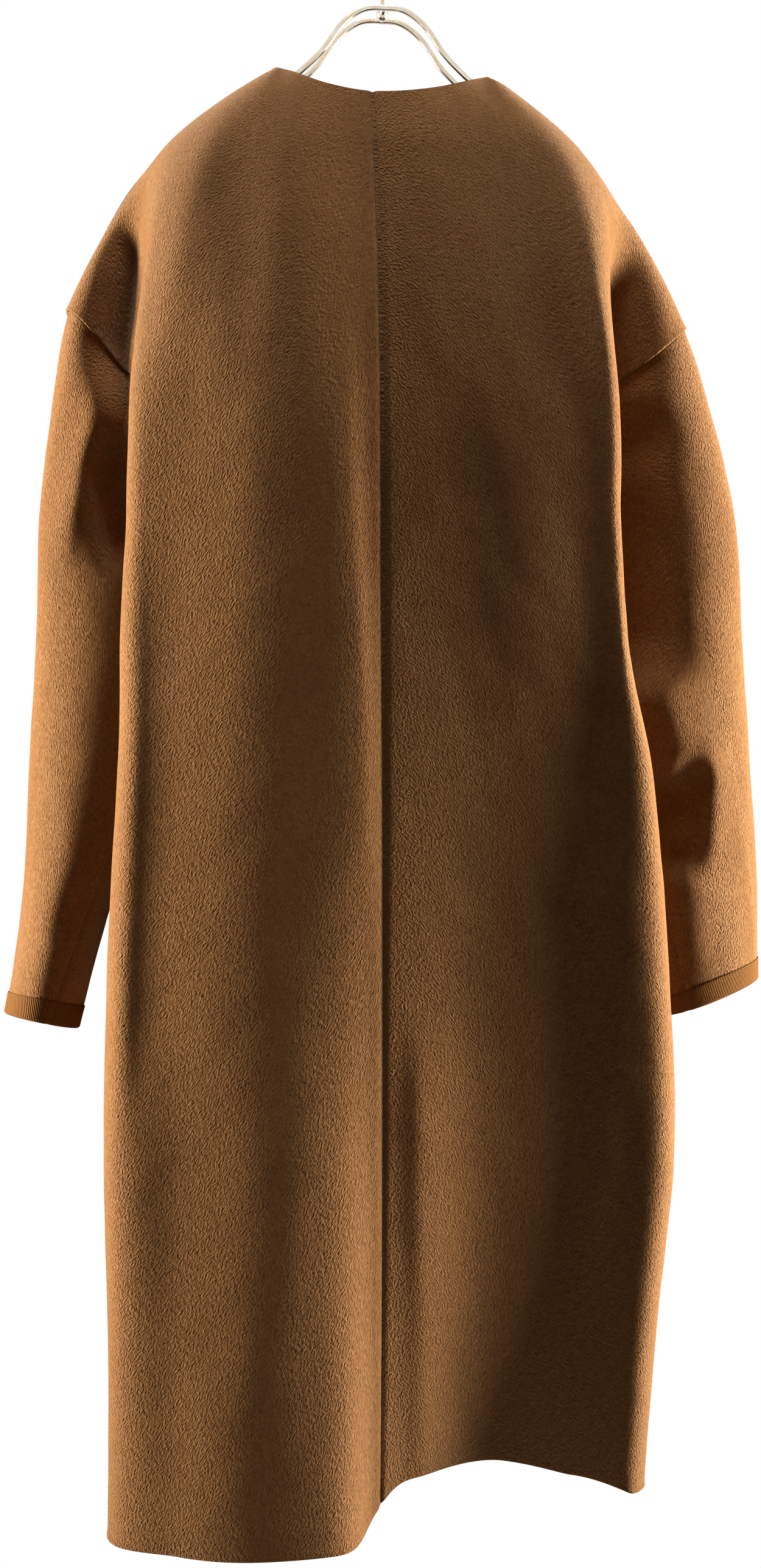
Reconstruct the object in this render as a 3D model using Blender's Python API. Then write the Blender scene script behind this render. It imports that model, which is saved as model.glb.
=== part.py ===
"""Collarless long wool coat hanging on a twin-wire hanger, as cut and sewn pieces.

Metres, +Z up. The origin is the underside of the hook's crown, where a rail carries it.
The coat's back faces -Y, its front +Y, and +X is the wearer's right.
"""
import math
from types import SimpleNamespace

import bmesh
import bpy
import numpy as np

# Cloth and seams
WALL = 0.0024
SEAM_GAP = 0.0003
TAPE = 0.0013
TAPE_WIDTH = 0.017
TAPE_CORNER_SHARE = 0.4
MITRE_LIMIT = 0.2
SEAM_SHARE = 0.65
UNDERARM_EASE = 0.0015

# Heights that the pieces share
HEM_Z = -1.200
UNDERARM_Z = -0.445

# Body: centre back seam, side seams and the lap of the two fronts
CENTRE_X = -0.013
SIDE_Y = 0.010
LAP = 0.035
LAP_DEPTH = 0.0045
FRONT_CREST_RATIO = 0.93
CREST_SQUARENESS = 3.0
CREST_FULLNESS = 0.6
PANEL_PLACES = (0.25, 0.50, 0.75, 0.965)
PANEL_FALLS = (0.0, 0.06, 0.55, 1.0)
FRONT_PLACES = (0.80, 0.60, 0.42, 0.20)
BETWEEN_SIDE_SHARE = 0.7
BETWEEN_POCKET_SHARE = 0.6

# How far the rows sink below the underarm as they leave the side seam, at the stations from the
# side seam to the pocket, the fold's crest and the middle of a panel
ROW_SAG = (0.0, 0.012, 0.024, 0.030)
ROW_SAG_GROWTH = 3.0

# A row for each level section of the body: how far the side folds reach, the pocket behind
# them where the cloth doubles back to the side seam, how deep the back and front hang, and how
# much of the back's depth is lost on the way to each side fold
BODY_COLUMNS = ("height crest_left crest_right crest_y back_y "
                "pocket_in pocket_y side_in front_y fall_left fall_right").split()
BODY_SECTIONS = (
    (-1.200, 0.1990, 0.1940, -0.070, -0.115, 0.006, -0.025, 0.014, 0.120, 0.26, 0.62),
    (-1.075, 0.2010, 0.2030, -0.076, -0.122, 0.007, -0.028, 0.017, 0.126, 0.28, 0.60),
    (-0.940, 0.2065, 0.2150, -0.080, -0.126, 0.012, -0.034, 0.024, 0.131, 0.33, 0.48),
    (-0.815, 0.2060, 0.2100, -0.083, -0.128, 0.022, -0.042, 0.040, 0.134, 0.42, 0.32),
    (-0.700, 0.2020, 0.2010, -0.085, -0.129, 0.036, -0.050, 0.064, 0.134, 0.48, 0.20),
    (-0.580, 0.1960, 0.1870, -0.085, -0.128, 0.046, -0.054, 0.080, 0.132, 0.52, 0.15),
    (-0.445, 0.1890, 0.1760, -0.083, -0.125, 0.050, -0.055, 0.082, 0.128, 0.54, 0.14),
)

# A row for each station of the neck and shoulder line, from the centre back outwards: its
# place, how far the cloth runs level or drops before it hangs, and how much lower the right
# shoulder sits
TOP_COLUMNS = "x y z reach dip right_drop".split()
BACK_TOP = (
    (0.000, -0.048, -0.154, 0.030, 0.060, 0.000),
    (0.040, -0.044, -0.148, 0.035, 0.055, 0.000),
    (0.070, -0.028, -0.134, 0.045, 0.040, 0.000),
    (0.0825, 0.000, -0.1215, 0.070, 0.015, 0.000),
    (0.125, 0.000, -0.154, 0.085, 0.000, 0.005),
    (0.165, 0.000, -0.188, 0.080, 0.000, 0.011),
    (0.195, 0.002, -0.222, 0.030, 0.004, 0.007),
    (0.218, 0.006, -0.264, 0.000, 0.000, 0.002),
    (0.2405, SIDE_Y, -0.312, 0.000, 0.000, 0.000),
)
FRONT_TOP = (
    (0.2405, SIDE_Y, -0.312, 0.000, 0.000, 0.000),
    (0.218, 0.006, -0.264, 0.000, 0.000, 0.002),
    (0.195, 0.002, -0.222, 0.050, 0.004, 0.007),
    (0.165, 0.000, -0.188, 0.085, 0.000, 0.011),
    (0.125, 0.000, -0.154, 0.085, 0.000, 0.005),
    (0.0825, 0.000, -0.1215, 0.070, 0.010, 0.000),
    (0.071, 0.023, -0.133, 0.045, 0.030, 0.000),
    (0.030, 0.066, -0.228, 0.012, 0.050, 0.000),
    (-0.030, 0.106, -0.336, 0.006, 0.040, 0.000),
)
NECK_HALF_WIDTH = BACK_TOP[3][0]
NECK_STATION = 3
CREST_STATION = 5
FRONT_CREST_STATION = 3
FRONT_NECK_STATION = 5
RISE = 0.5
CORNER_FROM = 0.5
BOW_FADE = 3.0
POCKET_SHARE = 0.5
BETWEEN_SHARE = 0.8
POCKET_HOLLOW = 0.020

# A row for each large fold: its place across the panels below the neck and at the hem, in
# panel widths from the centre back seam, how far it stands out, how much it lifts the hem, the
# width and flatness of its two sides, the height it starts from and how fast it grows
FOLD_COLUMNS = ("place_top place_hem reach hem_lift width_left width_right "
                "flat_left flat_right start growth").split()
FOLDS = (
    (0.30, 0.30, -0.010, 0.000, 0.41, 0.30, 6.0, 2.0, -0.20, 0.20),
    (-0.20, -0.20, 0.030, -0.004, 0.42, 0.155, 3.0, 8.0, -0.55, 2.2),
    (0.40, 0.38, -0.044, 0.000, 0.30, 0.25, 3.5, 2.5, -0.25, 1.6),
    (0.17, 0.17, 0.000, 0.035, 0.18, 0.40, 6.0, 3.0, -0.85, 2.0),
    (1.34, 1.36, 0.012, 0.000, 0.12, 0.12, 4.0, 4.0, -0.45, 1.0),
    (1.58, 1.57, -0.022, 0.000, 0.13, 0.13, 4.0, 4.0, -0.45, 1.0),
    (-1.33, -1.34, 0.008, 0.000, 0.12, 0.12, 4.0, 4.0, -0.45, 1.1),
    (-1.55, -1.53, -0.026, 0.000, 0.14, 0.14, 4.0, 4.0, -0.45, 1.0),
)
CENTRE_BLEND = 0.12
SIDE_BLEND = 0.10
TOP_FADE_FROM = 0.72
TOP_FADE = 0.20

# Armholes and sleeves: a row for each sleeve section below the armhole. A loop of roundness 1 is
# an ellipse, and one of less roundness lies flatter at its upper end
ARMHOLE_HALF_DEPTH = 0.042
ARMHOLE_ROUNDNESS = 0.60
CUFF_ROW_SHARE = 1.3
UNDERARM_POINT = 0.75
SLEEVE_COLUMNS = "height outer width centre_y half_depth lift nod turn roundness".split()
SLEEVE_LEFT = (
    (-0.470, 0.2600, 0.118, 0.014, 0.041, 15.0, 0.0, 8.0, 0.62),
    (-0.560, 0.2630, 0.108, 0.016, 0.048, 10.0, 0.0, 20.0, 0.75),
    (-0.660, 0.2690, 0.093, 0.020, 0.056, 5.0, 2.0, 36.0, 0.95),
    (-0.760, 0.2742, 0.065, 0.026, 0.059, 6.0, 0.0, 54.0, 1.00),
    (-0.851, 0.2875, 0.053, 0.034, 0.058, 13.0, -6.0, 72.0, 1.00),
)
SLEEVE_RIGHT = (
    (-0.470, 0.2795, 0.132, 0.014, 0.041, 15.0, 0.0, 6.0, 0.62),
    (-0.560, 0.2875, 0.122, 0.018, 0.046, 10.0, 4.0, 16.0, 0.75),
    (-0.660, 0.2965, 0.112, 0.024, 0.051, 8.0, 6.0, 28.0, 0.95),
    (-0.760, 0.3055, 0.098, 0.034, 0.050, 14.0, 2.0, 42.0, 1.00),
    (-0.840, 0.3085, 0.086, 0.044, 0.049, 19.5, -4.0, 54.0, 1.00),
)

# Grid of the walls
LOWER_ROWS = 14
UPPER_ROWS = 11
SLEEVE_ROWS = 15
NECK_COLUMNS = 8
SHOULDER_COLUMNS = 7
POCKET_COLUMNS = 7
NECKLINE_COLUMNS = 7
CURVE_STEPS = 20

# Hanger: two wires side by side, joined at their ends, with a hook on a cross bar
WIRE_RADIUS = 0.00225
WIRE_HALF_SPACING = 0.012
WIRE_BELOW_CLOTH = 0.0100
WIRE_MEETS_CLOTH = 0.095
HANGER_HALF_WIDTH = 0.160
ARCH_POINTS = 10
ARM_POINTS = 9
SHOULDER_STATIONS = 4
BEND_POINTS = 7
ARCH_COLUMNS = "x z".split()
ARCH = (
    (0.000, -0.0760),
    (0.018, -0.0785),
    (0.033, -0.0905),
    (0.046, -0.1090),
    (0.058, -0.1215),
    (0.074, -0.1348),
)
HOOK_RADIUS = 0.002
HOOK_INNER = 0.020
HOOK_TIP_ANGLE = -25.0
HOOK_HEEL_ANGLE = 232.0
HOOK_STATIONS = 7
HOOK_POINTS = 30
HEEL_BEND = (-0.0012, -0.050)
STEM_TOP_Z = -0.056
BOSS_RADIUS = 0.0048
BOSS_HEIGHT = 0.011
BAR_RADIUS = 0.0021

# Finishes
WOOL = SimpleNamespace(colour=(0.165, 0.082, 0.032, 1.0), roughness=0.92, metallic=0.0)
BINDING = SimpleNamespace(colour=(0.155, 0.070, 0.026, 1.0), roughness=0.75, metallic=0.0)
PALE_GOLD = SimpleNamespace(colour=(0.78, 0.66, 0.50, 1.0), roughness=0.18, metallic=1.0)


def smooth_through(knots, points, at, level_start=False):
    """Read a smooth curve through the points at the given places along its knots.

    level_start makes the curve leave its first point along X.
    """
    knots = np.asarray(knots, float)
    points = np.asarray(points, float)
    at = np.atleast_1d(np.asarray(at, float))
    step = np.diff(knots)[:, None]
    slope = np.diff(points, axis=0) / step
    tangent = np.empty_like(points)
    tangent[1:-1] = (slope[:-1] * step[1:] + slope[1:] * step[:-1]) / (step[:-1] + step[1:])
    tangent[0] = 1.5 * slope[0] - 0.5 * tangent[1]
    if level_start:
        tangent[0, 1:] = 0.0
    tangent[-1] = 1.5 * slope[-1] - 0.5 * tangent[-2]
    cell = np.clip(np.searchsorted(knots, at) - 1, 0, len(knots) - 2)
    width = step[cell]
    u = (at - knots[cell])[:, None] / width
    return ((1 + 2 * u) * (1 - u) ** 2 * points[cell]
            + u * (1 - u) ** 2 * width * tangent[cell]
            + u * u * (3 - 2 * u) * points[cell + 1]
            + u * u * (u - 1) * width * tangent[cell + 1])


def arc_lengths(points):
    """Distance along a polyline to each of its points."""
    return np.concatenate(([0.0], np.cumsum(np.linalg.norm(np.diff(points, axis=0), axis=1))))


def curve_through(stations, level_start=False):
    """Dense smooth curve through a few stations, CURVE_STEPS to each stretch."""
    knots = arc_lengths(stations)
    spread = np.interp(np.arange(CURVE_STEPS * (len(knots) - 1) + 1) / CURVE_STEPS,
                       np.arange(len(knots)), knots)
    return smooth_through(knots, stations, spread, level_start)


def columns_between(curve, corners, counts):
    """Columns of a dense curve, evenly spread between the stations named as corners."""
    points = []
    for first, last, count in zip(corners, corners[1:], counts):
        stretch = curve[first * CURVE_STEPS:last * CURVE_STEPS + 1]
        points.append(at_fractions(stretch, np.linspace(0, 1, count + 1))[:-1])
    return np.concatenate(points + [curve[-1:]])


def at_fractions(curve, fractions):
    """Points of a dense curve at fractions of its length."""
    lengths = arc_lengths(curve)
    places = np.asarray(fractions) * lengths[-1]
    return np.stack([np.interp(places, lengths, curve[:, axis]) for axis in range(3)], axis=1)


def ease(value):
    """Smooth step from 0 to 1."""
    value = np.clip(value, 0.0, 1.0)
    return value * value * (3.0 - 2.0 * value)


def rows_of(table, columns):
    """The rows of a table with their columns named."""
    return [SimpleNamespace(**dict(zip(columns, row))) for row in table]


def section_at(table, columns, height):
    """One section of a table, read smoothly at a height. Its first column is the height."""
    table = np.array(sorted(table))
    values = smooth_through(table[:, 0], table, [height])[0]
    return SimpleNamespace(**dict(zip(columns, values)))


def level_stations(height, side):
    """Stations of a level body section, from the centre back round to the front edge."""
    cut = section_at(BODY_SECTIONS, BODY_COLUMNS, height)
    crest_x = side * (cut.crest_right if side > 0 else cut.crest_left)
    fall = cut.fall_right if side > 0 else cut.fall_left
    front_crest_x = crest_x * FRONT_CREST_RATIO
    front_crest_y = 2 * SIDE_Y - cut.crest_y
    stations = [(CENTRE_X, cut.back_y)]
    for place, share in zip(PANEL_PLACES, PANEL_FALLS):
        stations.append((CENTRE_X + place * (crest_x - CENTRE_X),
                         cut.back_y + (cut.crest_y - cut.back_y) * fall * share))
    pocket_x = crest_x - side * cut.pocket_in
    side_x = crest_x - side * cut.side_in
    between_x = pocket_x + BETWEEN_SIDE_SHARE * (side_x - pocket_x)
    between_y = SIDE_Y + BETWEEN_POCKET_SHARE * (cut.pocket_y - SIDE_Y)
    stations += [(crest_x, cut.crest_y), (pocket_x, cut.pocket_y), (between_x, between_y),
                 (side_x, SIDE_Y), (between_x, 2 * SIDE_Y - between_y),
                 (pocket_x, 2 * SIDE_Y - cut.pocket_y), (front_crest_x, front_crest_y)]
    layer = side * LAP_DEPTH
    for place in FRONT_PLACES:
        offset = layer * (1 - place) ** 2
        full = (1 - place ** CREST_SQUARENESS) ** CREST_FULLNESS
        stations.append((CENTRE_X + place * (front_crest_x - CENTRE_X),
                         front_crest_y + (cut.front_y - front_crest_y) * full + offset))
    stations.append((CENTRE_X - side * LAP, cut.front_y + layer))
    seam = len(BACK_TOP) - 1
    share = (height - HEM_Z) / (UNDERARM_Z - HEM_Z)
    away = np.minimum(np.abs(np.arange(len(stations)) - seam), len(ROW_SAG) - 1)
    heights = height - np.array(ROW_SAG)[away] * share ** ROW_SAG_GROWTH
    return np.array([(x, y, z) for (x, y), z in zip(stations, heights)])


def armhole(side, angle):
    """A point of the armhole seam: 0 degrees at the shoulder end, 180 at the underarm."""
    low = level_stations(UNDERARM_Z, side)[len(BACK_TOP) - 1]
    high = top_points(BACK_TOP, side)[-1]
    back = np.array([0.0, -ARMHOLE_HALF_DEPTH, 0.0])
    return loop_point((high + low) / 2, (high - low) / 2, back, math.radians(angle),
                      UNDERARM_POINT, ARMHOLE_ROUNDNESS)


def loop_point(centre, axis, back, angle, pointed, roundness):
    """A point of a sleeve's loop, which may run to a point at its lower end."""
    share = abs(math.remainder(angle, math.tau)) / math.pi
    along = math.cos(angle)
    along += pointed * share * (1 - 2 * share - along)
    power = roundness + (1 - roundness) * share
    bulge = math.copysign(abs(math.sin(angle)) ** power, math.sin(angle))
    return centre + axis * along + back * bulge


def top_points(table, side):
    """Stations of the neck and shoulder line on one side."""
    points = []
    for row in rows_of(table, TOP_COLUMNS):
        centring = CENTRE_X * max(0.0, 1 - abs(row.x) / NECK_HALF_WIDTH)
        drop = row.right_drop if side > 0 else 0.0
        points.append((side * row.x + centring, row.y, row.z - drop))
    return np.array(points)


def rising_stations(table, side, tau, facing):
    """Stations of a sloping row between the underarm level and the neck and shoulder line."""
    top = top_points(table, side)
    level = level_stations(UNDERARM_Z, side)
    count = len(BACK_TOP)
    base = level[:count] if facing < 0 else level[count - 1:]
    stations = []
    for index, row in enumerate(rows_of(table, TOP_COLUMNS)):
        start, end = base[index], top[index].copy()
        if facing > 0 and index > FRONT_NECK_STATION + 1:
            end[1] += side * LAP_DEPTH
        lift = np.array([0.0, 0.0, RISE * (end[2] - start[2])])
        fall = np.array([0.0, facing * row.reach, -row.dip])
        weights = ((1 - tau) ** 3, 3 * tau * (1 - tau) ** 2, 3 * tau * tau * (1 - tau), tau ** 3)
        corners = (start, start + lift, end + fall, end)
        stations.append(sum(w * c for w, c in zip(weights, corners)))
    edge, between, pocket, crest = (-1, -2, -3, -4) if facing < 0 else (0, 1, 2, 3)
    stations[edge] = armhole(side, -facing * 180.0 * (1 - tau))
    hollow = np.array([0.0, -facing * POCKET_HOLLOW * 4 * tau * (1 - tau), 0.0])
    for station, share in ((pocket, POCKET_SHARE), (between, BETWEEN_SHARE)):
        span = lambda ends: ends[crest] + share * (ends[edge] - ends[crest])
        low_bow = (1 - tau) ** BOW_FADE * (base[station] - span(base))
        high_bow = tau ** BOW_FADE * (top[station] - span(top))
        stations[station] = span(stations) + low_bow + high_bow + (1 - share) * 2 * hollow
    return np.array(stations)


def folded(curve, places, rising):
    """A dense section curve with the large folds worked into it.

    places are the points' places across the panels, in panel widths from the centre back.
    """
    flat = np.gradient(curve[:, :2], axis=0)
    flat /= np.maximum(np.linalg.norm(flat, axis=1, keepdims=True), 1e-9)
    way = np.sign(places[-1])
    outward = way * np.stack([flat[:, 1], -flat[:, 0]], axis=1)
    near_centre = ease(np.abs(places) / CENTRE_BLEND)[:, None]
    outward = outward * near_centre + np.array([0.0, -1.0]) * (1 - near_centre)
    held = ease(np.abs(np.abs(places) - 1) / SIDE_BLEND)
    shift = np.zeros_like(flat)
    lift = np.zeros(len(curve))
    for fold in rows_of(FOLDS, FOLD_COLUMNS):
        grown = np.clip((fold.start - curve[:, 2]) / (fold.start - HEM_Z), 0.0, 1.0)
        away = places - fold.place_top - (fold.place_hem - fold.place_top) * grown
        left = np.exp(-np.abs(away / fold.width_left) ** fold.flat_left)
        right = np.exp(-np.abs(away / fold.width_right) ** fold.flat_right)
        bell = np.where(away < 0, left, right) * grown ** fold.growth * held
        shift += bell[:, None] * fold.reach * outward
        lift += bell * fold.hem_lift
    if rising:
        nearness = 1 - np.abs(np.abs(places) - 1)
        shift *= 1 - ease((nearness - TOP_FADE_FROM) / TOP_FADE)[:, None]
    bent = curve.copy()
    bent[:, :2] += shift
    bent[:, 2] += lift
    return bent


def body_grids(side):
    """Middle surfaces of the back and the front of one side, rows from the hem up."""
    seam = len(BACK_TOP) - 1
    edge = seam * CURVE_STEPS
    back, front = [], []
    for height in np.linspace(HEM_Z, UNDERARM_Z, LOWER_ROWS + 1):
        curve = curve_through(level_stations(height, side), True)
        lengths = arc_lengths(curve)
        places = np.where(np.arange(len(curve)) <= edge, lengths / lengths[edge],
                          1 + (lengths - lengths[edge]) / (lengths[-1] - lengths[edge]))
        curve = folded(curve, side * places, False)
        back.append(columns_between(curve[:edge + 1], (0, CREST_STATION, seam),
                                    (NECK_COLUMNS + SHOULDER_COLUMNS, POCKET_COLUMNS)))
        front.append(columns_between(curve[edge:], (0, FRONT_CREST_STATION, seam),
                                     (POCKET_COLUMNS, SHOULDER_COLUMNS + NECKLINE_COLUMNS)))
    for tau in np.linspace(0, 1, UPPER_ROWS + 1)[1:]:
        back.append(rising_row(rising_stations(BACK_TOP, side, tau, -1), tau, side, False))
        front.append(rising_row(rising_stations(FRONT_TOP, side, tau, 1), tau, side, True))
    front[-1][:POCKET_COLUMNS + SHOULDER_COLUMNS + 1] = back[-1][:NECK_COLUMNS - 1:-1]
    return np.array(back), np.array(front)


def rising_row(stations, tau, side, is_front):
    """Columns of a sloping row. Near the top it turns a corner at the neck point."""
    last = len(stations) - 1
    if is_front:
        corners = (0, FRONT_CREST_STATION, FRONT_NECK_STATION, last)
        counts = (POCKET_COLUMNS, SHOULDER_COLUMNS, NECKLINE_COLUMNS)
        plain_corners = (corners[0], corners[1], last)
        plain_counts = (counts[0], counts[1] + counts[2])
        neck = FRONT_NECK_STATION
    else:
        corners = (0, NECK_STATION, CREST_STATION, last)
        counts = (NECK_COLUMNS, SHOULDER_COLUMNS, POCKET_COLUMNS)
        plain_corners = (corners[0], corners[2], last)
        plain_counts = (counts[0] + counts[1], counts[2])
        neck = NECK_STATION
    curve = curve_through(stations, not is_front)
    lengths = arc_lengths(curve)
    curve = folded(curve, side * (is_front + lengths / lengths[-1]), True)
    plain = columns_between(curve, plain_corners, plain_counts)
    halves = (curve_through(stations[:neck + 1], not is_front), curve_through(stations[neck:]))
    cornered = columns_between(np.concatenate([halves[0], halves[1][1:]]), corners, counts)
    sharpness = ease((tau - CORNER_FROM) / (1 - CORNER_FROM))
    return plain + sharpness * (cornered - plain)


def sleeve_grid(side):
    """Middle surface of a sleeve, rows from the armhole down, columns round from its seam."""
    table = SLEEVE_RIGHT if side > 0 else SLEEVE_LEFT
    high, low = armhole(side, 0.0), armhole(side, 180.0)
    centres, axes, turns = [(high + low) / 2], [(high - low) / 2], [0.0]
    backs, points = [np.array([0.0, -ARMHOLE_HALF_DEPTH, 0.0])], [UNDERARM_POINT]
    roundness = [ARMHOLE_ROUNDNESS]
    for cut in rows_of(table, SLEEVE_COLUMNS):
        lift, nod = math.radians(cut.lift), math.radians(cut.nod)
        centres.append(np.array([side * (cut.outer - cut.width / 2), cut.centre_y, cut.height]))
        axes.append(cut.width / 2 * np.array([side, 0.0, math.tan(lift)]))
        backs.append(cut.half_depth * np.array([0.0, -math.cos(nod), -math.sin(nod)]))
        turns.append(math.radians(cut.turn))
        points.append(0.0)
        roundness.append(cut.roundness)
    knots = arc_lengths(np.array(centres))
    data = np.concatenate([np.array(centres), np.array(axes), np.array(backs),
                           np.array(turns)[:, None], np.array(points)[:, None],
                           np.array(roundness)[:, None]], axis=1)
    tape_row = knots[-1] - CUFF_ROW_SHARE * TAPE_WIDTH
    places = np.append(np.linspace(0, tape_row, SLEEVE_ROWS), knots[-1])
    rows = smooth_through(knots, data, places)
    angles = np.radians(np.linspace(180.0, -180.0, 2 * UPPER_ROWS + 1))
    grid = []
    for row in rows:
        centre, axis, back, turn = row[:3], row[3:6], row[6:9], row[9]
        grid.append([loop_point(centre, axis, back, a - turn, *row[10:]) for a in angles])
    return np.array(grid)


def grid_normals(grid, centre_line):
    """Unit normals of a grid, pointing away from a centre line of one point per row."""
    across = np.gradient(grid, axis=1)
    along = np.gradient(grid, axis=0)
    normals = np.cross(across, along)
    normals /= np.maximum(np.linalg.norm(normals, axis=2, keepdims=True), 1e-12)
    if np.sum(normals * (grid - centre_line[:, None, :])) < 0:
        normals = -normals
    return normals


def border_indices(shape):
    """Grid indices of the border points."""
    rows, columns = shape[:2]
    return [(i, j) for i in range(rows) for j in range(columns)
            if i in (0, rows - 1) or j in (0, columns - 1)]


def share_seam_normals(panels):
    """Give points that meet on a seam one mitred normal, so that the walls meet there."""
    totals = {}
    for panel in panels:
        for i, j in border_indices(panel.grid.shape):
            totals.setdefault(seam_key(panel.grid[i, j]), []).append(panel.normals[i, j].copy())
    for panel in panels:
        for i, j in border_indices(panel.grid.shape):
            meeting = totals[seam_key(panel.grid[i, j])]
            mean = sum(meeting) / len(meeting)
            length = np.linalg.norm(mean)
            panel.normals[i, j] = mean / length / max(length, MITRE_LIMIT)


def seam_key(point):
    """A seam point's place, rounded so that the pieces that share it find each other."""
    return tuple(np.round(point, 5) + 0.0)


def trim_borders(grid, top_ease):
    """Draw each border of a grid back by a little more than half the seam gap.

    top_ease is how much further the points of the first row are drawn back.
    """
    inset = SEAM_SHARE * SEAM_GAP
    trimmed = grid.copy()
    down = grid[1] - grid[0]
    trimmed[0] += down * (top_ease / np.linalg.norm(down, axis=1))[:, None]
    for axis in (0, 1):
        for edge, inner in ((0, 1), (-1, -2)):
            step = np.take(grid, inner, axis) - np.take(grid, edge, axis)
            step *= inset / np.linalg.norm(step, axis=1, keepdims=True)
            place = [slice(None)] * 2
            place[axis] = edge
            trimmed[tuple(place)] += step
    return trimmed


def material(name, finish):
    """A plain finish for one piece."""
    look = bpy.data.materials.new(name)
    look.use_nodes = True
    shader = look.node_tree.nodes["Principled BSDF"]
    shader.inputs["Base Color"].default_value = finish.colour
    shader.inputs["Roughness"].default_value = finish.roughness
    shader.inputs["Metallic"].default_value = finish.metallic
    return look


def add_mesh(name, points, faces, finish):
    """Make an object from points and faces, with its faces turned outwards."""
    mesh = bpy.data.meshes.new(name)
    mesh.from_pydata([tuple(p) for p in points], [], faces)
    shape = bmesh.new()
    shape.from_mesh(mesh)
    bmesh.ops.recalc_face_normals(shape, faces=shape.faces)
    shape.to_mesh(mesh)
    shape.free()
    mesh.shade_smooth()
    mesh.materials.append(material(name, finish))
    piece = bpy.data.objects.new(name, mesh)
    bpy.context.scene.collection.objects.link(piece)
    return piece


def add_wall(name, panel):
    """Make a cut piece of cloth as a closed wall on its middle surface."""
    grid = trim_borders(panel.grid, panel.top_ease)
    rows, columns = grid.shape[:2]
    half = panel.normals * WALL / 2
    points = np.concatenate([(grid + half).reshape(-1, 3), (grid - half).reshape(-1, 3)])
    under = rows * columns
    faces = []
    for i in range(rows - 1):
        for j in range(columns - 1):
            a, b = i * columns + j, (i + 1) * columns + j
            faces.append((a, a + 1, b + 1, b))
            faces.append((under + a, under + b, under + b + 1, under + a + 1))
    rim = ([(0, j) for j in range(columns - 1)] + [(i, columns - 1) for i in range(rows - 1)]
           + [(rows - 1, j) for j in range(columns - 1, 0, -1)]
           + [(i, 0) for i in range(rows - 1, 0, -1)])
    loop = [i * columns + j for i, j in rim]
    for a, b in zip(loop, loop[1:] + loop[:1]):
        faces.append((b, a, under + a, under + b))
    return add_mesh(name, points, faces, WOOL)


def add_cuff_binding(name, sleeve):
    """Make the tape that is folded over a sleeve's end, from the sleeve's own points."""
    gap = WALL / 2 + SEAM_GAP
    outer = gap + TAPE
    corner = TAPE_CORNER_SHARE * TAPE
    profile = ((outer, TAPE_WIDTH), (outer, -corner), (outer - corner, -SEAM_GAP - TAPE),
               (corner - outer, -SEAM_GAP - TAPE), (-outer, -corner), (-outer, TAPE_WIDTH),
               (-gap, TAPE_WIDTH), (-gap, -SEAM_GAP), (gap, -SEAM_GAP), (gap, TAPE_WIDTH))
    end, above = sleeve.grid[-1, :-1], sleeve.grid[-2, :-1]
    run = above - end
    length = np.linalg.norm(run, axis=1, keepdims=True)
    points, faces = [], []
    for off, up in profile:
        share = up / length
        normal = (1 - share) * sleeve.normals[-1, :-1] + share * sleeve.normals[-2, :-1]
        points.append(end + run * share + normal * off)
    around = len(end)
    for k in range(len(profile)):
        low, high = k * around, (k + 1) % len(profile) * around
        for j in range(around):
            nxt = (j + 1) % around
            faces.append((low + j, low + nxt, high + nxt, high + j))
    return add_mesh(name, np.concatenate(points), faces, BINDING)


def add_wire(name, points, radius, closed):
    """Make a round wire along its points."""
    curve = bpy.data.curves.new(name, "CURVE")
    curve.dimensions = "3D"
    curve.bevel_depth = radius
    curve.bevel_resolution = 2
    curve.use_fill_caps = not closed
    spline = curve.splines.new("POLY")
    spline.points.add(len(points) - 1)
    for point, place in zip(spline.points, points):
        point.co = (*place, 1.0)
    spline.use_cyclic_u = closed
    curve.materials.append(material(name, PALE_GOLD))
    piece = bpy.data.objects.new(name, curve)
    bpy.context.scene.collection.objects.link(piece)
    return piece


def wire_line():
    """Half of the hanger's outline, from the middle of its arch to its end, as x and z."""
    shoulder = curve_through(top_points(BACK_TOP, 1)[NECK_STATION:])
    reach = np.linspace(WIRE_MEETS_CLOTH, HANGER_HALF_WIDTH, SHOULDER_STATIONS)
    below = np.interp(reach, shoulder[:, 0], shoulder[:, 2]) - WIRE_BELOW_CLOTH
    stations = np.concatenate([np.array(ARCH), np.stack([reach, below], axis=1)])
    arch_x = np.linspace(0.0, ARCH[-1][0], ARCH_POINTS)
    arm_x = np.linspace(ARCH[-1][0], HANGER_HALF_WIDTH, ARM_POINTS)[1:]
    return smooth_through(stations[:, 0], stations, np.concatenate([arch_x, arm_x]))


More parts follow.
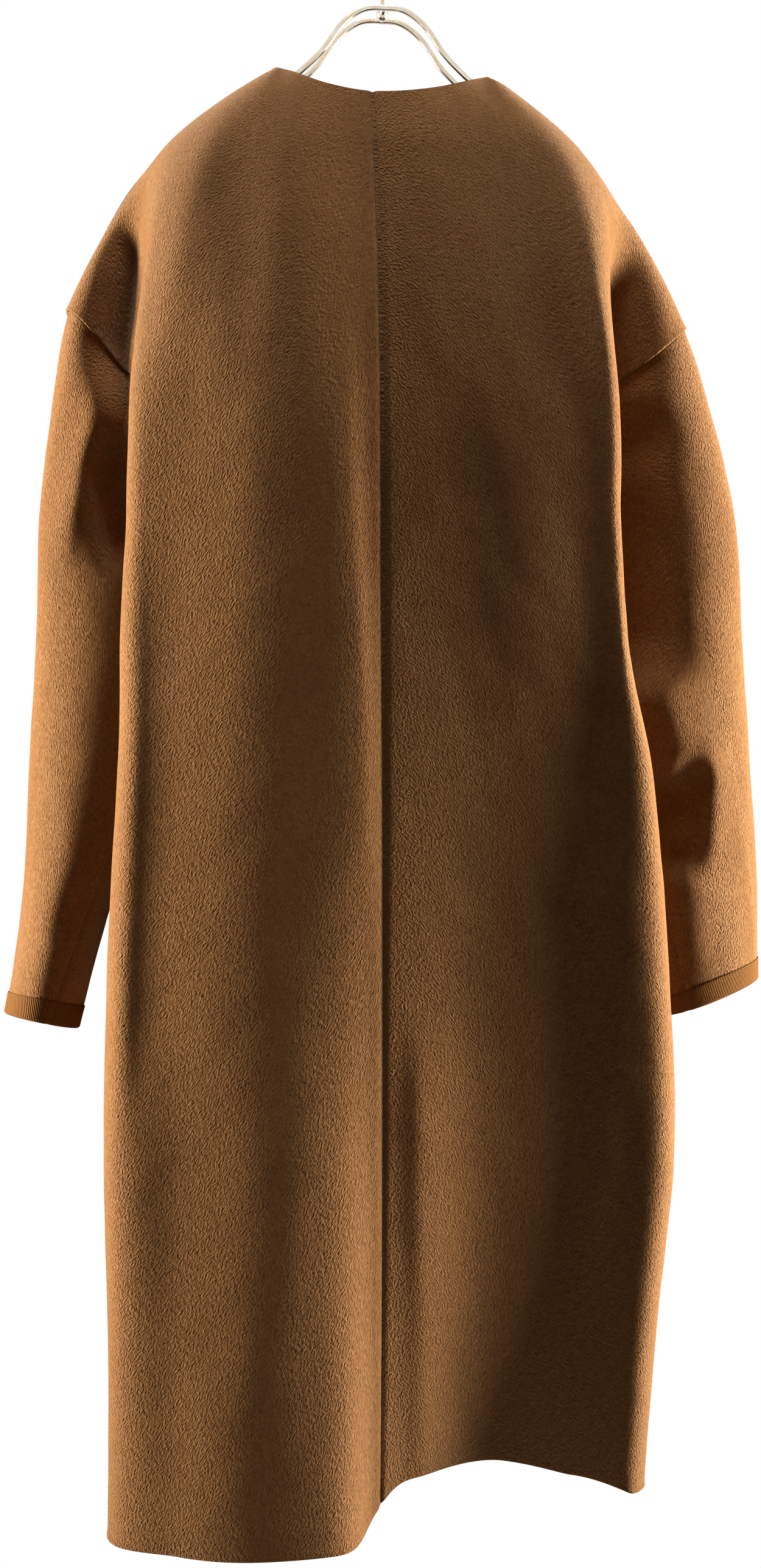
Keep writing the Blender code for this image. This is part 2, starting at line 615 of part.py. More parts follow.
def add_hanger():
    """Make the hanger: its looped wire, its cross bar with a boss, and its hook."""
    half = wire_line()
    tip = half[-1]
    slope = (half[-1] - half[-2]) / np.linalg.norm(half[-1] - half[-2])
    full = np.concatenate([np.stack([-half[:0:-1, 0], half[:0:-1, 1]], axis=1), half])
    near = [(x, -WIRE_HALF_SPACING, z) for x, z in full]
    far = [(x, WIRE_HALF_SPACING, z) for x, z in full[::-1]]
    bend = []
    for angle in np.radians(np.linspace(-90, 90, BEND_POINTS)[1:-1]):
        out = WIRE_HALF_SPACING * math.cos(angle)
        bend.append((tip[0] + out * slope[0], WIRE_HALF_SPACING * math.sin(angle),
                     tip[1] + out * slope[1]))
    left_bend = [(-x, -y, z) for x, y, z in bend]
    add_wire("hanger_wire", near + bend + far + left_bend, WIRE_RADIUS, True)

    crown = HOOK_INNER + HOOK_RADIUS
    sweep = np.radians(np.linspace(HOOK_TIP_ANGLE, HOOK_HEEL_ANGLE, HOOK_STATIONS))
    arc = [(crown * math.cos(a), crown * math.sin(a) - HOOK_INNER) for a in sweep]
    boss_top = ARCH[0][1] + BOSS_HEIGHT / 2
    stem = [HEEL_BEND, (0.0, STEM_TOP_Z), (0.0, boss_top + SEAM_GAP)]
    route = np.array([(x, 0.0, z) for x, z in arc + stem])
    knots = arc_lengths(route)
    spread = np.linspace(0, knots[-1], HOOK_POINTS)
    add_wire("hanger_hook", smooth_through(knots, route, spread), HOOK_RADIUS, False)

    bpy.ops.mesh.primitive_uv_sphere_add(segments=16, ring_count=8, radius=BOSS_RADIUS,
                                         location=(0.0, 0.0, ARCH[0][1]))
    boss = bpy.context.object
    boss.name = boss.data.name = "hanger_boss"
    boss.scale = (1.0, 1.0, BOSS_HEIGHT / 2 / BOSS_RADIUS)
    bar_length = 2 * (WIRE_HALF_SPACING - WIRE_RADIUS - SEAM_GAP)
    bpy.ops.mesh.primitive_cylinder_add(vertices=12, radius=BAR_RADIUS, depth=bar_length,
                                        location=(0.0, 0.0, ARCH[0][1]),
                                        rotation=(math.pi / 2, 0.0, 0.0))
    bar = bpy.context.object
    bar.name = "cross_bar_guide"
    bar.hide_render = True
    bar.display_type = "WIRE"
    union = boss.modifiers.new("cross bar", "BOOLEAN")
    union.operation = "UNION"
    union.solver = "EXACT"
    union.object = bar
    boss.data.materials.append(material("hanger_boss", PALE_GOLD))


def main():
    """Clear the scene and build the coat on its hanger."""
    for piece in list(bpy.data.objects):
        bpy.data.objects.remove(piece, do_unlink=True)
    panels = {}
    for side, word in ((-1, "left"), (1, "right")):
        back, front = body_grids(side)
        sleeve = sleeve_grid(side)
        for kind, grid in (("back", back), ("front", front), ("sleeve", sleeve)):
            middle = grid.mean(axis=1)
            if kind != "sleeve":
                middle[:, :2] = (0.0, SIDE_Y)
            top_ease = np.zeros(grid.shape[1])
            if kind == "sleeve":
                top_ease = UNDERARM_EASE * np.abs(np.linspace(-1, 1, grid.shape[1])) ** 2
            panels[f"{kind}_{word}"] = SimpleNamespace(
                grid=grid, normals=grid_normals(grid, middle), top_ease=top_ease)
    share_seam_normals(panels.values())
    for name, panel in panels.items():
        add_wall(name, panel)
    for word in ("left", "right"):
        add_cuff_binding(f"cuff_binding_{word}", panels[f"sleeve_{word}"])
    add_hanger()


main()
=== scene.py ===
"""Looks of a long napped wool coat on its twin-wire hanger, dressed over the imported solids.

Metres, +Z up. The hook's crown is at the origin, the coat's back faces -Y and +X is the
wearer's right. The cloth follows the same sections as the solids, with a finer grid.
"""
import logging
import math
from dataclasses import astuple, dataclass, field
from enum import Enum
from typing import Optional, Sequence

import bmesh
import bpy
import numpy as np
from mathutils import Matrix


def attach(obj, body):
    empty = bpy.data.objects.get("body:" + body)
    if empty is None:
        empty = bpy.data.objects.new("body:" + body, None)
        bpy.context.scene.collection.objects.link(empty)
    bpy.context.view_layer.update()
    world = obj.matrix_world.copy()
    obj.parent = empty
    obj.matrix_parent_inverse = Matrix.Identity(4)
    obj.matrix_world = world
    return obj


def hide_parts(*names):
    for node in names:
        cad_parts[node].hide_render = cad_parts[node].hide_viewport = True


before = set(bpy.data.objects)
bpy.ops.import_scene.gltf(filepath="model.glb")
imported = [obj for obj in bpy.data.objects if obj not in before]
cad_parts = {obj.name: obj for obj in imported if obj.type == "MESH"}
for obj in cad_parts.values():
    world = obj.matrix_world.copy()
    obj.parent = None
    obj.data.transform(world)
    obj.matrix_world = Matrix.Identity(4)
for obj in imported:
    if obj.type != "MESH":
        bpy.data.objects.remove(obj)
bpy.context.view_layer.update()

LOG = logging.getLogger("coat")
BODY = "root"
CLOTH_MAP = "cloth"
SEAM_DIGITS = 5

Range = tuple[float, float]
Size = tuple[float, float, float]
Colour = tuple[float, float, float, float]


class Side(Enum):
    """The two halves of the coat, seen from its back."""

    LEFT = -1
    RIGHT = 1

    @property
    def word(self) -> str:
        """The side's name as it stands in the names of the pieces."""
        return self.name.lower()


class Facing(Enum):
    """The way that a part of the cloth faces."""

    BACK = -1
    FRONT = 1


class Push(Enum):
    """The way that a ridge stands out of the cloth."""

    BACK = (0.0, -1.0, 0.0)
    FRONT = (0.0, 1.0, 0.0)
    LEFT = (-1.0, 0.0, 0.0)
    RIGHT = (1.0, 0.0, 0.0)


class SlotName(Enum):
    """The record's material slots."""

    WOOL = "wool"
    BINDING = "binding"
    METAL = "hanger_metal"


@dataclass(frozen=True)
class BodySection:
    """A level section of the body: its side folds, the pockets behind them and its depth.

    The falls say how much of the back's depth is lost on the way to each side fold.
    """

    height: float
    crest_left: float
    crest_right: float
    crest_y: float
    back_y: float
    pocket_in: float
    pocket_y: float
    side_in: float
    front_y: float
    fall_left: float
    fall_right: float


@dataclass(frozen=True)
class TopStation:
    """A station of the neck and shoulder line, and how the cloth leaves it."""

    x: float
    y: float
    z: float
    reach: float
    dip: float
    right_drop: float


@dataclass(frozen=True)
class LargeFold:
    """A fold that hangs from the shoulders to the hem, placed in panel widths.

    It reaches out of the panel or into it, lifts the hem, and has its own width and flatness
    on each side.
    """

    place_top: float
    place_hem: float
    reach: float
    hem_lift: float
    width_left: float
    width_right: float
    flat_left: float
    flat_right: float
    start: float
    growth: float


@dataclass(frozen=True)
class SleeveSection:
    """A section across a sleeve."""

    height: float
    outer: float
    width: float
    centre_y: float
    half_depth: float
    lift: float
    nod: float
    turn: float
    roundness: float


@dataclass(frozen=True)
class Crease:
    """A soft ridge, or a trough where its rise is below zero, along a line over the cloth.

    Its points are x and z as seen from the back, in order downwards. It may be softer on one side
    than on the other, and it fades out over a share of its length at both ends.
    """

    pieces: tuple[str, ...]
    push: Push
    points: tuple[tuple[float, float], ...]
    rise: float
    soft_left: float
    soft_right: float
    fade: float = 0.35


@dataclass(frozen=True)
class Cut:
    """The flat size of a piece before it is sewn, what it hangs from and its area.

    A plain strip has no area of its own, since it fills its flat size.
    """

    width: float
    length: float
    hangs_from: str
    area: Optional[float] = None


def creases(pieces: tuple[str, ...], push: Push, *rows: tuple) -> list[Crease]:
    """Creases on the same pieces that stand out the same way.

    Args:
        pieces: the pieces that they run over.
        push: the way that their ridges stand out.
        rows: the points, rise, softness and fade of each.

    Returns:
        The creases.
    """
    return [Crease(pieces, push, *row) for row in rows]


BODY_SECTIONS = tuple(BodySection(*row) for row in (
    (-1.200, 0.1990, 0.1940, -0.070, -0.115, 0.006, -0.025, 0.014, 0.120, 0.26, 0.62),
    (-1.075, 0.2010, 0.2030, -0.076, -0.122, 0.007, -0.028, 0.017, 0.126, 0.28, 0.60),
    (-0.940, 0.2065, 0.2150, -0.080, -0.126, 0.012, -0.034, 0.024, 0.131, 0.33, 0.48),
    (-0.815, 0.2060, 0.2100, -0.083, -0.128, 0.022, -0.042, 0.040, 0.134, 0.42, 0.32),
    (-0.700, 0.2020, 0.2010, -0.085, -0.129, 0.036, -0.050, 0.064, 0.134, 0.48, 0.20),
    (-0.580, 0.1960, 0.1870, -0.085, -0.128, 0.046, -0.054, 0.080, 0.132, 0.52, 0.15),
    (-0.445, 0.1890, 0.1760, -0.083, -0.125, 0.050, -0.055, 0.082, 0.128, 0.54, 0.14),
))
SIDE_Y = 0.010
BACK_TOP = tuple(TopStation(*row) for row in (
    (0.000, -0.048, -0.154, 0.030, 0.060, 0.000),
    (0.040, -0.044, -0.148, 0.035, 0.055, 0.000),
    (0.070, -0.028, -0.134, 0.045, 0.040, 0.000),
    (0.0825, 0.000, -0.1215, 0.070, 0.015, 0.000),
    (0.125, 0.000, -0.154, 0.085, 0.000, 0.005),
    (0.165, 0.000, -0.188, 0.080, 0.000, 0.011),
    (0.195, 0.002, -0.222, 0.030, 0.004, 0.007),
    (0.218, 0.006, -0.264, 0.000, 0.000, 0.002),
    (0.2405, SIDE_Y, -0.312, 0.000, 0.000, 0.000),
))
FRONT_TOP = tuple(TopStation(*row) for row in (
    (0.2405, SIDE_Y, -0.312, 0.000, 0.000, 0.000),
    (0.218, 0.006, -0.264, 0.000, 0.000, 0.002),
    (0.195, 0.002, -0.222, 0.050, 0.004, 0.007),
    (0.165, 0.000, -0.188, 0.085, 0.000, 0.011),
    (0.125, 0.000, -0.154, 0.085, 0.000, 0.005),
    (0.0825, 0.000, -0.1215, 0.070, 0.010, 0.000),
    (0.071, 0.023, -0.133, 0.045, 0.030, 0.000),
    (0.030, 0.066, -0.228, 0.012, 0.050, 0.000),
    (-0.030, 0.106, -0.336, 0.006, 0.040, 0.000),
))
LARGE_FOLDS = tuple(LargeFold(*row) for row in (
    (0.30, 0.30, -0.010, 0.000, 0.41, 0.30, 6.0, 2.0, -0.20, 0.20),
    (-0.20, -0.20, 0.030, -0.004, 0.42, 0.155, 3.0, 8.0, -0.55, 2.2),
    (0.40, 0.38, -0.044, 0.000, 0.30, 0.25, 3.5, 2.5, -0.25, 1.6),
    (0.17, 0.17, 0.000, 0.029, 0.18, 0.40, 6.0, 3.0, -0.85, 2.0),
    (1.34, 1.36, 0.012, 0.000, 0.12, 0.12, 4.0, 4.0, -0.45, 1.0),
    (1.58, 1.57, -0.022, 0.000, 0.13, 0.13, 4.0, 4.0, -0.45, 1.0),
    (-1.33, -1.34, 0.008, 0.000, 0.12, 0.12, 4.0, 4.0, -0.45, 1.1),
    (-1.55, -1.53, -0.026, 0.000, 0.14, 0.14, 4.0, 4.0, -0.45, 1.0),
))
SLEEVE_SECTIONS = {side: tuple(SleeveSection(*row) for row in rows) for side, rows in {
    Side.LEFT: (
        (-0.470, 0.2600, 0.118, 0.014, 0.041, 15.0, 0.0, 8.0, 0.62),
        (-0.560, 0.2630, 0.108, 0.016, 0.048, 10.0, 0.0, 20.0, 0.75),
        (-0.660, 0.2690, 0.093, 0.020, 0.056, 5.0, 2.0, 36.0, 0.95),
        (-0.760, 0.2742, 0.065, 0.026, 0.059, 6.0, 0.0, 54.0, 1.00),
        (-0.851, 0.2875, 0.053, 0.034, 0.058, 13.0, -6.0, 72.0, 1.00),
    ),
    Side.RIGHT: (
        (-0.470, 0.2795, 0.132, 0.014, 0.041, 15.0, 0.0, 6.0, 0.62),
        (-0.560, 0.2875, 0.122, 0.018, 0.046, 10.0, 4.0, 16.0, 0.75),
        (-0.660, 0.2965, 0.112, 0.024, 0.051, 8.0, 6.0, 28.0, 0.95),
        (-0.760, 0.3055, 0.098, 0.034, 0.050, 14.0, 2.0, 42.0, 1.00),
        (-0.840, 0.3085, 0.086, 0.044, 0.049, 19.5, -4.0, 54.0, 1.00),
    ),
}.items()}
LEFT_SHOULDER = ("back_left", "front_left", "sleeve_left")
RIGHT_SHOULDER = ("back_right", "front_right", "sleeve_right")
CREASES = (
    *creases(("back_left",), Push.BACK,
             (((-0.040, -0.298), (-0.037, -0.461), (-0.028, -0.632), (-0.024, -0.846)),
              0.0045, 0.034, 0.009, 0.35),
             (((-0.077, -0.825), (-0.092, -0.996), (-0.131, -1.167), (-0.140, -1.274)),
              0.0038, 0.045, 0.045, 0.25),
             (((-0.167, -0.256), (-0.171, -0.324), (-0.173, -0.461), (-0.175, -0.632),
               (-0.180, -0.782), (-0.185, -0.932)), -0.0040, 0.010, 0.020, 0.15),
             (((-0.129, -0.226), (-0.129, -0.290), (-0.131, -0.350), (-0.133, -0.410)),
              0.0020, 0.018, 0.018, 0.35)),
    *creases(("back_right",), Push.BACK,
             (((0.101, -0.324), (0.103, -0.461), (0.101, -0.654)), 0.0035, 0.042, 0.040, 0.35),
             (((0.015, -0.804), (0.017, -0.975), (0.020, -1.103), (0.023, -1.274)),
              0.0050, 0.014, 0.034, 0.25),
             (((-0.018, -0.341), (-0.017, -0.547), (-0.016, -0.718), (-0.015, -0.881)),
              -0.0014, 0.010, 0.012, 0.30),
             (((0.161, -0.611), (0.161, -0.761), (0.157, -0.889), (0.144, -1.060),
               (0.136, -1.274)), 0.0050, 0.030, 0.026, 0.25),
             (((0.198, -0.580), (0.206, -0.700), (0.213, -0.815), (0.217, -0.940), (0.206, -1.075),
               (0.197, -1.200), (0.190, -1.300)), -0.0090, 0.024, 0.020, 0.20)),
    *creases(LEFT_SHOULDER, Push.BACK,
             (((-0.176, -0.198), (-0.185, -0.243), (-0.190, -0.288), (-0.194, -0.342),
               (-0.197, -0.414)), -0.0210, 0.022, 0.006, 0.38),
             (((-0.201, -0.234), (-0.215, -0.266), (-0.229, -0.302), (-0.235, -0.333),
               (-0.239, -0.378), (-0.242, -0.423)), 0.0070, 0.010, 0.024, 0.30)),
    *creases(RIGHT_SHOULDER, Push.BACK,
             (((0.158, -0.212), (0.170, -0.266), (0.178, -0.324), (0.182, -0.378),
               (0.185, -0.441)), -0.0180, 0.006, 0.028, 0.36)),
    *creases(LEFT_SHOULDER, Push.LEFT,
             (((-0.187, -0.270), (-0.190, -0.378), (-0.194, -0.477), (-0.198, -0.540),
               (-0.201, -0.653)), 0.0050, 0.020, 0.020, 0.30)),
    *creases(RIGHT_SHOULDER, Push.RIGHT,
             (((0.157, -0.234), (0.173, -0.306), (0.181, -0.378), (0.183, -0.468), (0.187, -0.563),
               (0.198, -0.666)), -0.0110, 0.024, 0.024, 0.25)),
    *creases(("sleeve_left",), Push.BACK,
             (((-0.222, -0.338), (-0.215, -0.379), (-0.225, -0.429), (-0.237, -0.475),
               (-0.243, -0.520)), 0.0060, 0.014, 0.012, 0.30),
             (((-0.194, -0.397), (-0.205, -0.429), (-0.202, -0.470), (-0.198, -0.520)),
              -0.0140, 0.013, 0.020, 0.30),
             (((-0.220, -0.735), (-0.243, -0.794)), -0.0030, 0.012, 0.012, 0.40)),
    *creases(("sleeve_right",), Push.BACK,
             (((0.196, -0.607), (0.204, -0.657), (0.209, -0.698)), -0.0100, 0.010, 0.012, 0.30),
             (((0.205, -0.686), (0.227, -0.697)), -0.0100, 0.020, 0.020, 0.25),
             (((0.221, -0.694), (0.245, -0.650)), -0.0060, 0.014, 0.014, 0.30),
             (((0.189, -0.580), (0.204, -0.634), (0.216, -0.681)), 0.0110, 0.012, 0.034, 0.30),
             (((0.250, -0.625), (0.254, -0.685), (0.247, -0.749)), 0.0040, 0.010, 0.014, 0.30),
             (((0.187, -0.365), (0.191, -0.470), (0.194, -0.538), (0.195, -0.598)),
              -0.0160, 0.020, 0.028, 0.20),
             (((0.229, -0.712), (0.220, -0.744), (0.215, -0.785), (0.214, -0.826),
               (0.216, -0.876)), 0.0200, 0.014, 0.040, 0.25)),
    *creases(("front_right",), Push.FRONT,
             (((0.105, -0.260), (0.110, -0.450), (0.120, -0.750)), -0.0060, 0.022, 0.030, 0.35),
             (((0.050, -0.500), (0.056, -0.800), (0.060, -1.250)), 0.0050, 0.030, 0.024, 0.30)),
    *creases(("front_left",), Push.FRONT,
             (((-0.100, -0.280), (-0.112, -0.500), (-0.120, -0.800)), -0.0060, 0.030, 0.022, 0.35),
             (((-0.045, -0.550), (-0.060, -0.850), (-0.064, -1.250)), 0.0050, 0.024, 0.030, 0.30)),
    *creases(("sleeve_left",), Push.FRONT,
             (((-0.252, -0.500), (-0.225, -0.535), (-0.200, -0.550)), -0.0060, 0.012, 0.012, 0.35),
             (((-0.258, -0.600), (-0.235, -0.625), (-0.210, -0.630)),
              -0.0050, 0.010, 0.012, 0.35)),
    *creases(("sleeve_right",), Push.FRONT,
             (((0.262, -0.520), (0.235, -0.555), (0.208, -0.570)), -0.0060, 0.012, 0.012, 0.35),
             (((0.272, -0.620), (0.245, -0.645), (0.218, -0.650)), -0.0050, 0.012, 0.010, 0.35)),
)


def smooth_through(knots: np.ndarray, points: np.ndarray, at: np.ndarray,
                   level_start: bool = False) -> np.ndarray:
    """Read a smooth curve through points.

    Args:
        knots: place of each point along the curve.
        points: the points, one row each.
        at: the places to read.
        level_start: whether the curve leaves its first point along X.

    Returns:
        One row for each place.
    """
    step = np.diff(knots)[:, None]
    slope = np.diff(points, axis=0) / step
    tangent = np.empty_like(points)
    tangent[1:-1] = (slope[:-1] * step[1:] + slope[1:] * step[:-1]) / (step[:-1] + step[1:])
    tangent[0] = 1.5 * slope[0] - 0.5 * tangent[1]
    if level_start:
        tangent[0, 1:] = 0.0
    tangent[-1] = 1.5 * slope[-1] - 0.5 * tangent[-2]
    cell = np.clip(np.searchsorted(knots, at) - 1, 0, len(knots) - 2)
    width = step[cell]
    u = (at - knots[cell])[:, None] / width
    return ((1 + 2 * u) * (1 - u) ** 2 * points[cell]
            + u * (1 - u) ** 2 * width * tangent[cell]
            + u * u * (3 - 2 * u) * points[cell + 1]
            + u * u * (u - 1) * width * tangent[cell + 1])


def arc_lengths(points: np.ndarray, axis: int = 0) -> np.ndarray:
    """Distances along lines of points, from the first point of each line.

    Args:
        points: points whose last axis holds x, y and z.
        axis: the axis that the lines run along.

    Returns:
        One distance for each point.
    """
    steps = np.linalg.norm(np.diff(points, axis=axis), axis=-1)
    start = np.zeros_like(np.take(steps, [0], axis=axis))
    return np.concatenate([start, np.cumsum(steps, axis=axis)], axis=axis)


def read_along(places: np.ndarray, knots: np.ndarray, points: np.ndarray) -> np.ndarray:
    """Read a line of points straight between its knots.

    Args:
        places: where to read.
        knots: place of each point along the line.
        points: the points, one row each.

    Returns:
        One row for each place.
    """
    return np.stack([np.interp(places, knots, column) for column in points.T], axis=1)


def ease(value: np.ndarray) -> np.ndarray:
    """Smooth step from 0 to 1."""
    value = np.clip(value, 0.0, 1.0)
    return value * value * (3.0 - 2.0 * value)


def read_section(table: Sequence, height: float):
    """Read one section of a table smoothly at a height.

    Args:
        table: sections of one kind, whose first field is the height.
        height: where to read.

    Returns:
        A section of the same kind.
    """
    rows = np.array(sorted(astuple(row) for row in table))
    return type(table[0])(*smooth_through(rows[:, 0], rows, np.array([height]))[0])


def packed_fractions(count: int, start: bool, end: bool, close: tuple[float, ...]) -> np.ndarray:
    """Fractions from 0 to 1, packed closer beside the edges of a piece.

    Args:
        count: number of even steps.
        start: whether the first end is an edge.
        end: whether the last end is an edge.
        close: the small fractions beside an edge.

    Returns:
        The fractions in order.
    """
    even = np.linspace(0, 1, count + 1)
    keep = [x for x in even if not (start and 0 < x <= close[-1])
            and not (end and 1 - close[-1] <= x < 1)]
    extra = [c for c in close if start] + [1 - c for c in close if end]
    return np.array(sorted(keep + extra))


@dataclass(frozen=True)
class CoatForm:
    """The form that the coat hangs in, as the middle surfaces of its cut pieces."""

    hem_z: float = -1.200
    underarm_z: float = -0.445
    centre_x: float = -0.013
    lap: float = 0.035
    lap_depth: float = 0.0045
    front_crest_ratio: float = 0.93
    crest_squareness: float = 3.0
    crest_fullness: float = 0.6
    panel_places: tuple[float, ...] = (0.25, 0.50, 0.75, 0.965)
    panel_falls: tuple[float, ...] = (0.0, 0.06, 0.55, 1.0)
    front_places: tuple[float, ...] = (0.80, 0.60, 0.42, 0.20)
    between_side_share: float = 0.7
    between_pocket_share: float = 0.6
    row_sag: tuple[float, ...] = (0.0, 0.012, 0.024, 0.030)
    row_sag_growth: float = 3.0
    neck_station: int = 3
    crest_station: int = 5
    front_crest_station: int = 3
    front_neck_station: int = 5
    rise: float = 0.5
    corner_from: float = 0.5
    bow_fade: float = 3.0
    pocket_share: float = 0.5
    between_share: float = 0.8
    pocket_hollow: float = 0.020
    centre_blend: float = 0.12
    side_blend: float = 0.10
    top_fade_from: float = 0.72
    top_fade: float = 0.20
    armhole_half_depth: float = 0.042
    armhole_roundness: float = 0.60
    underarm_point: float = 0.75
    sleeve_tuck: float = 0.0020
    lower_rows: int = 170
    upper_rows: int = 72
    sleeve_rows: int = 120
    neck_columns: int = 40
    shoulder_columns: int = 34
    pocket_columns: int = 30
    curve_steps: int = 60
    row_close: tuple[float, ...] = (0.0020, 0.0045)
    rise_close: tuple[float, ...] = (0.005, 0.011)
    column_close: tuple[float, ...] = (0.006, 0.014)

    @property
    def seam(self) -> int:
        """The station of the side seam."""
        return len(BACK_TOP) - 1

    @property
    def taus(self) -> np.ndarray:
        """Shares of the way from the underarm level to the shoulders, one for each row."""
        return packed_fractions(self.upper_rows, False, True, self.rise_close)

    def curve_through(self, stations: np.ndarray, level_start: bool = False) -> np.ndarray:
        """Dense smooth curve through a few stations.

        Args:
            stations: the stations.
            level_start: whether the curve leaves its first station along X.

        Returns:
            curve_steps points for each stretch and the last station.
        """
        knots = arc_lengths(stations)
        places = np.arange(self.curve_steps * (len(knots) - 1) + 1) / self.curve_steps
        return smooth_through(knots, stations, np.interp(places, np.arange(len(knots)), knots),
                              level_start)

    def columns_between(self, curve: np.ndarray, corners: Sequence[int],
                        counts: Sequence[int]) -> np.ndarray:
        """Columns of a dense curve, packed closer at its two ends.

        Args:
            curve: the dense curve.
            corners: stations that some column has to meet.
            counts: number of even steps between one corner and the next.

        Returns:
            One point for each column.
        """
        points = []
        stretches = list(zip(corners, corners[1:], counts))
        for index, (first, last, count) in enumerate(stretches):
            stretch = curve[first * self.curve_steps:last * self.curve_steps + 1]
            lengths = arc_lengths(stretch)
            fractions = packed_fractions(count, index == 0, index == len(stretches) - 1,
                                         self.column_close)
            points.append(read_along(fractions * lengths[-1], lengths, stretch)[:-1])
        return np.concatenate(points + [curve[-1:]])

    def level_stations(self, height: float, side: Side) -> np.ndarray:
        """Stations of a level body section, from the centre back round to the front edge.

        Args:
            height: the section's height.
            side: the half of the coat.

        Returns:
            One point for each station.
        """
        cut = read_section(BODY_SECTIONS, height)
        way = side.value
        is_right = side is Side.RIGHT
        crest_x = way * (cut.crest_right if is_right else cut.crest_left)
        fall = cut.fall_right if is_right else cut.fall_left
        front_x = crest_x * self.front_crest_ratio
        front_y = 2 * SIDE_Y - cut.crest_y

        stations = [(self.centre_x, cut.back_y)]
        for place, share in zip(self.panel_places, self.panel_falls):
            stations.append((self.centre_x + place * (crest_x - self.centre_x),
                             cut.back_y + (cut.crest_y - cut.back_y) * fall * share))
        pocket_x = crest_x - way * cut.pocket_in
        side_x = crest_x - way * cut.side_in
        between_x = pocket_x + self.between_side_share * (side_x - pocket_x)
        between_y = SIDE_Y + self.between_pocket_share * (cut.pocket_y - SIDE_Y)
        stations += [(crest_x, cut.crest_y), (pocket_x, cut.pocket_y), (between_x, between_y),
                     (side_x, SIDE_Y), (between_x, 2 * SIDE_Y - between_y),
                     (pocket_x, 2 * SIDE_Y - cut.pocket_y), (front_x, front_y)]
        layer = way * self.lap_depth
        for place in self.front_places:
            offset = layer * (1 - place) ** 2
            full = (1 - place ** self.crest_squareness) ** self.crest_fullness
            stations.append((self.centre_x + place * (front_x - self.centre_x),
                             front_y + (cut.front_y - front_y) * full + offset))
        stations.append((self.centre_x - way * self.lap, cut.front_y + layer))
        share = (height - self.hem_z) / (self.underarm_z - self.hem_z)
        away = np.abs(np.arange(len(stations)) - self.seam)
        sag = np.array(self.row_sag)[np.minimum(away, len(self.row_sag) - 1)]
        heights = height - sag * share ** self.row_sag_growth
        return np.array([(x, y, z) for (x, y), z in zip(stations, heights)])

    def armhole(self, side: Side, angle: float) -> np.ndarray:
        """A point of the armhole seam: 0 degrees at the shoulder end, 180 at the underarm."""
        low = self.level_stations(self.underarm_z, side)[self.seam]
        high = self.top_points(BACK_TOP, side)[-1]
        back = np.array([0.0, -self.armhole_half_depth, 0.0])
        return self.loop((high + low) / 2, (high - low) / 2, back, np.radians([angle]),
                         self.underarm_point, self.armhole_roundness)[0]

    @staticmethod
    def loop(centre: np.ndarray, axis: np.ndarray, back: np.ndarray, angles: np.ndarray,
             pointed: float, roundness: float) -> np.ndarray:
        """Points of a sleeve's loop, which may run to a point at its lower end.

        Args:
            centre: the loop's middle.
            axis: from the middle to the loop's upper end.
            back: from the middle to the loop's back.
            angles: the points' angles in radians, 0 at the upper end.
            pointed: 0 for a round lower end, 1 for a sharp one.
            roundness: 1 for an ellipse, less for a loop that lies flatter at its upper end.

        Returns:
            One point for each angle.
        """
        share = np.abs((angles + math.pi) % math.tau - math.pi) / math.pi
        along = np.cos(angles)
        along = along + pointed * share * (1 - 2 * share - along)
        power = roundness + (1 - roundness) * share
        bulge = np.sign(np.sin(angles)) * np.abs(np.sin(angles)) ** power
        return centre + axis * along[:, None] + back * bulge[:, None]

    def top_points(self, table: Sequence[TopStation], side: Side) -> np.ndarray:
        """Stations of the neck and shoulder line on one side."""
        half_neck = BACK_TOP[self.neck_station].x
        points = []
        for row in table:
            centring = self.centre_x * max(0.0, 1 - abs(row.x) / half_neck)
            drop = row.right_drop if side is Side.RIGHT else 0.0
            points.append((side.value * row.x + centring, row.y, row.z - drop))
        return np.array(points)

    def rising_stations(self, side: Side, tau: float, facing: Facing) -> np.ndarray:
        """Stations of a sloping row between the underarm level and the shoulders.

        Args:
            side: the half of the coat.
            tau: share of the way up.
            facing: the back or the front.

        Returns:
            One point for each station.
        """
        table = BACK_TOP if facing is Facing.BACK else FRONT_TOP
        way = facing.value
        top = self.top_points(table, side)
        level = self.level_stations(self.underarm_z, side)
        base = level[:self.seam + 1] if facing is Facing.BACK else level[self.seam:]
        weights = ((1 - tau) ** 3, 3 * tau * (1 - tau) ** 2, 3 * tau * tau * (1 - tau), tau ** 3)
        stations = []
        for index, row in enumerate(table):
            start, end = base[index], top[index].copy()
            if facing is Facing.FRONT and index > self.front_neck_station + 1:
                end[1] += side.value * self.lap_depth
            lift = np.array([0.0, 0.0, self.rise * (end[2] - start[2])])
            fall = np.array([0.0, way * row.reach, -row.dip])
            corners = (start, start + lift, end + fall, end)
            stations.append(sum(w * c for w, c in zip(weights, corners)))
        edge, between, pocket, crest = (-1, -2, -3, -4) if way < 0 else (0, 1, 2, 3)
        stations[edge] = self.armhole(side, -way * 180.0 * (1 - tau))
        hollow = np.array([0.0, -way * self.pocket_hollow * 4 * tau * (1 - tau), 0.0])
        for station, share in ((pocket, self.pocket_share), (between, self.between_share)):
            spans = [ends[crest] + share * (ends[edge] - ends[crest])
                     for ends in (base, top, stations)]
            low_bow = (1 - tau) ** self.bow_fade * (base[station] - spans[0])
            high_bow = tau ** self.bow_fade * (top[station] - spans[1])
            stations[station] = spans[2] + low_bow + high_bow + (1 - share) * 2 * hollow
        return np.array(stations)

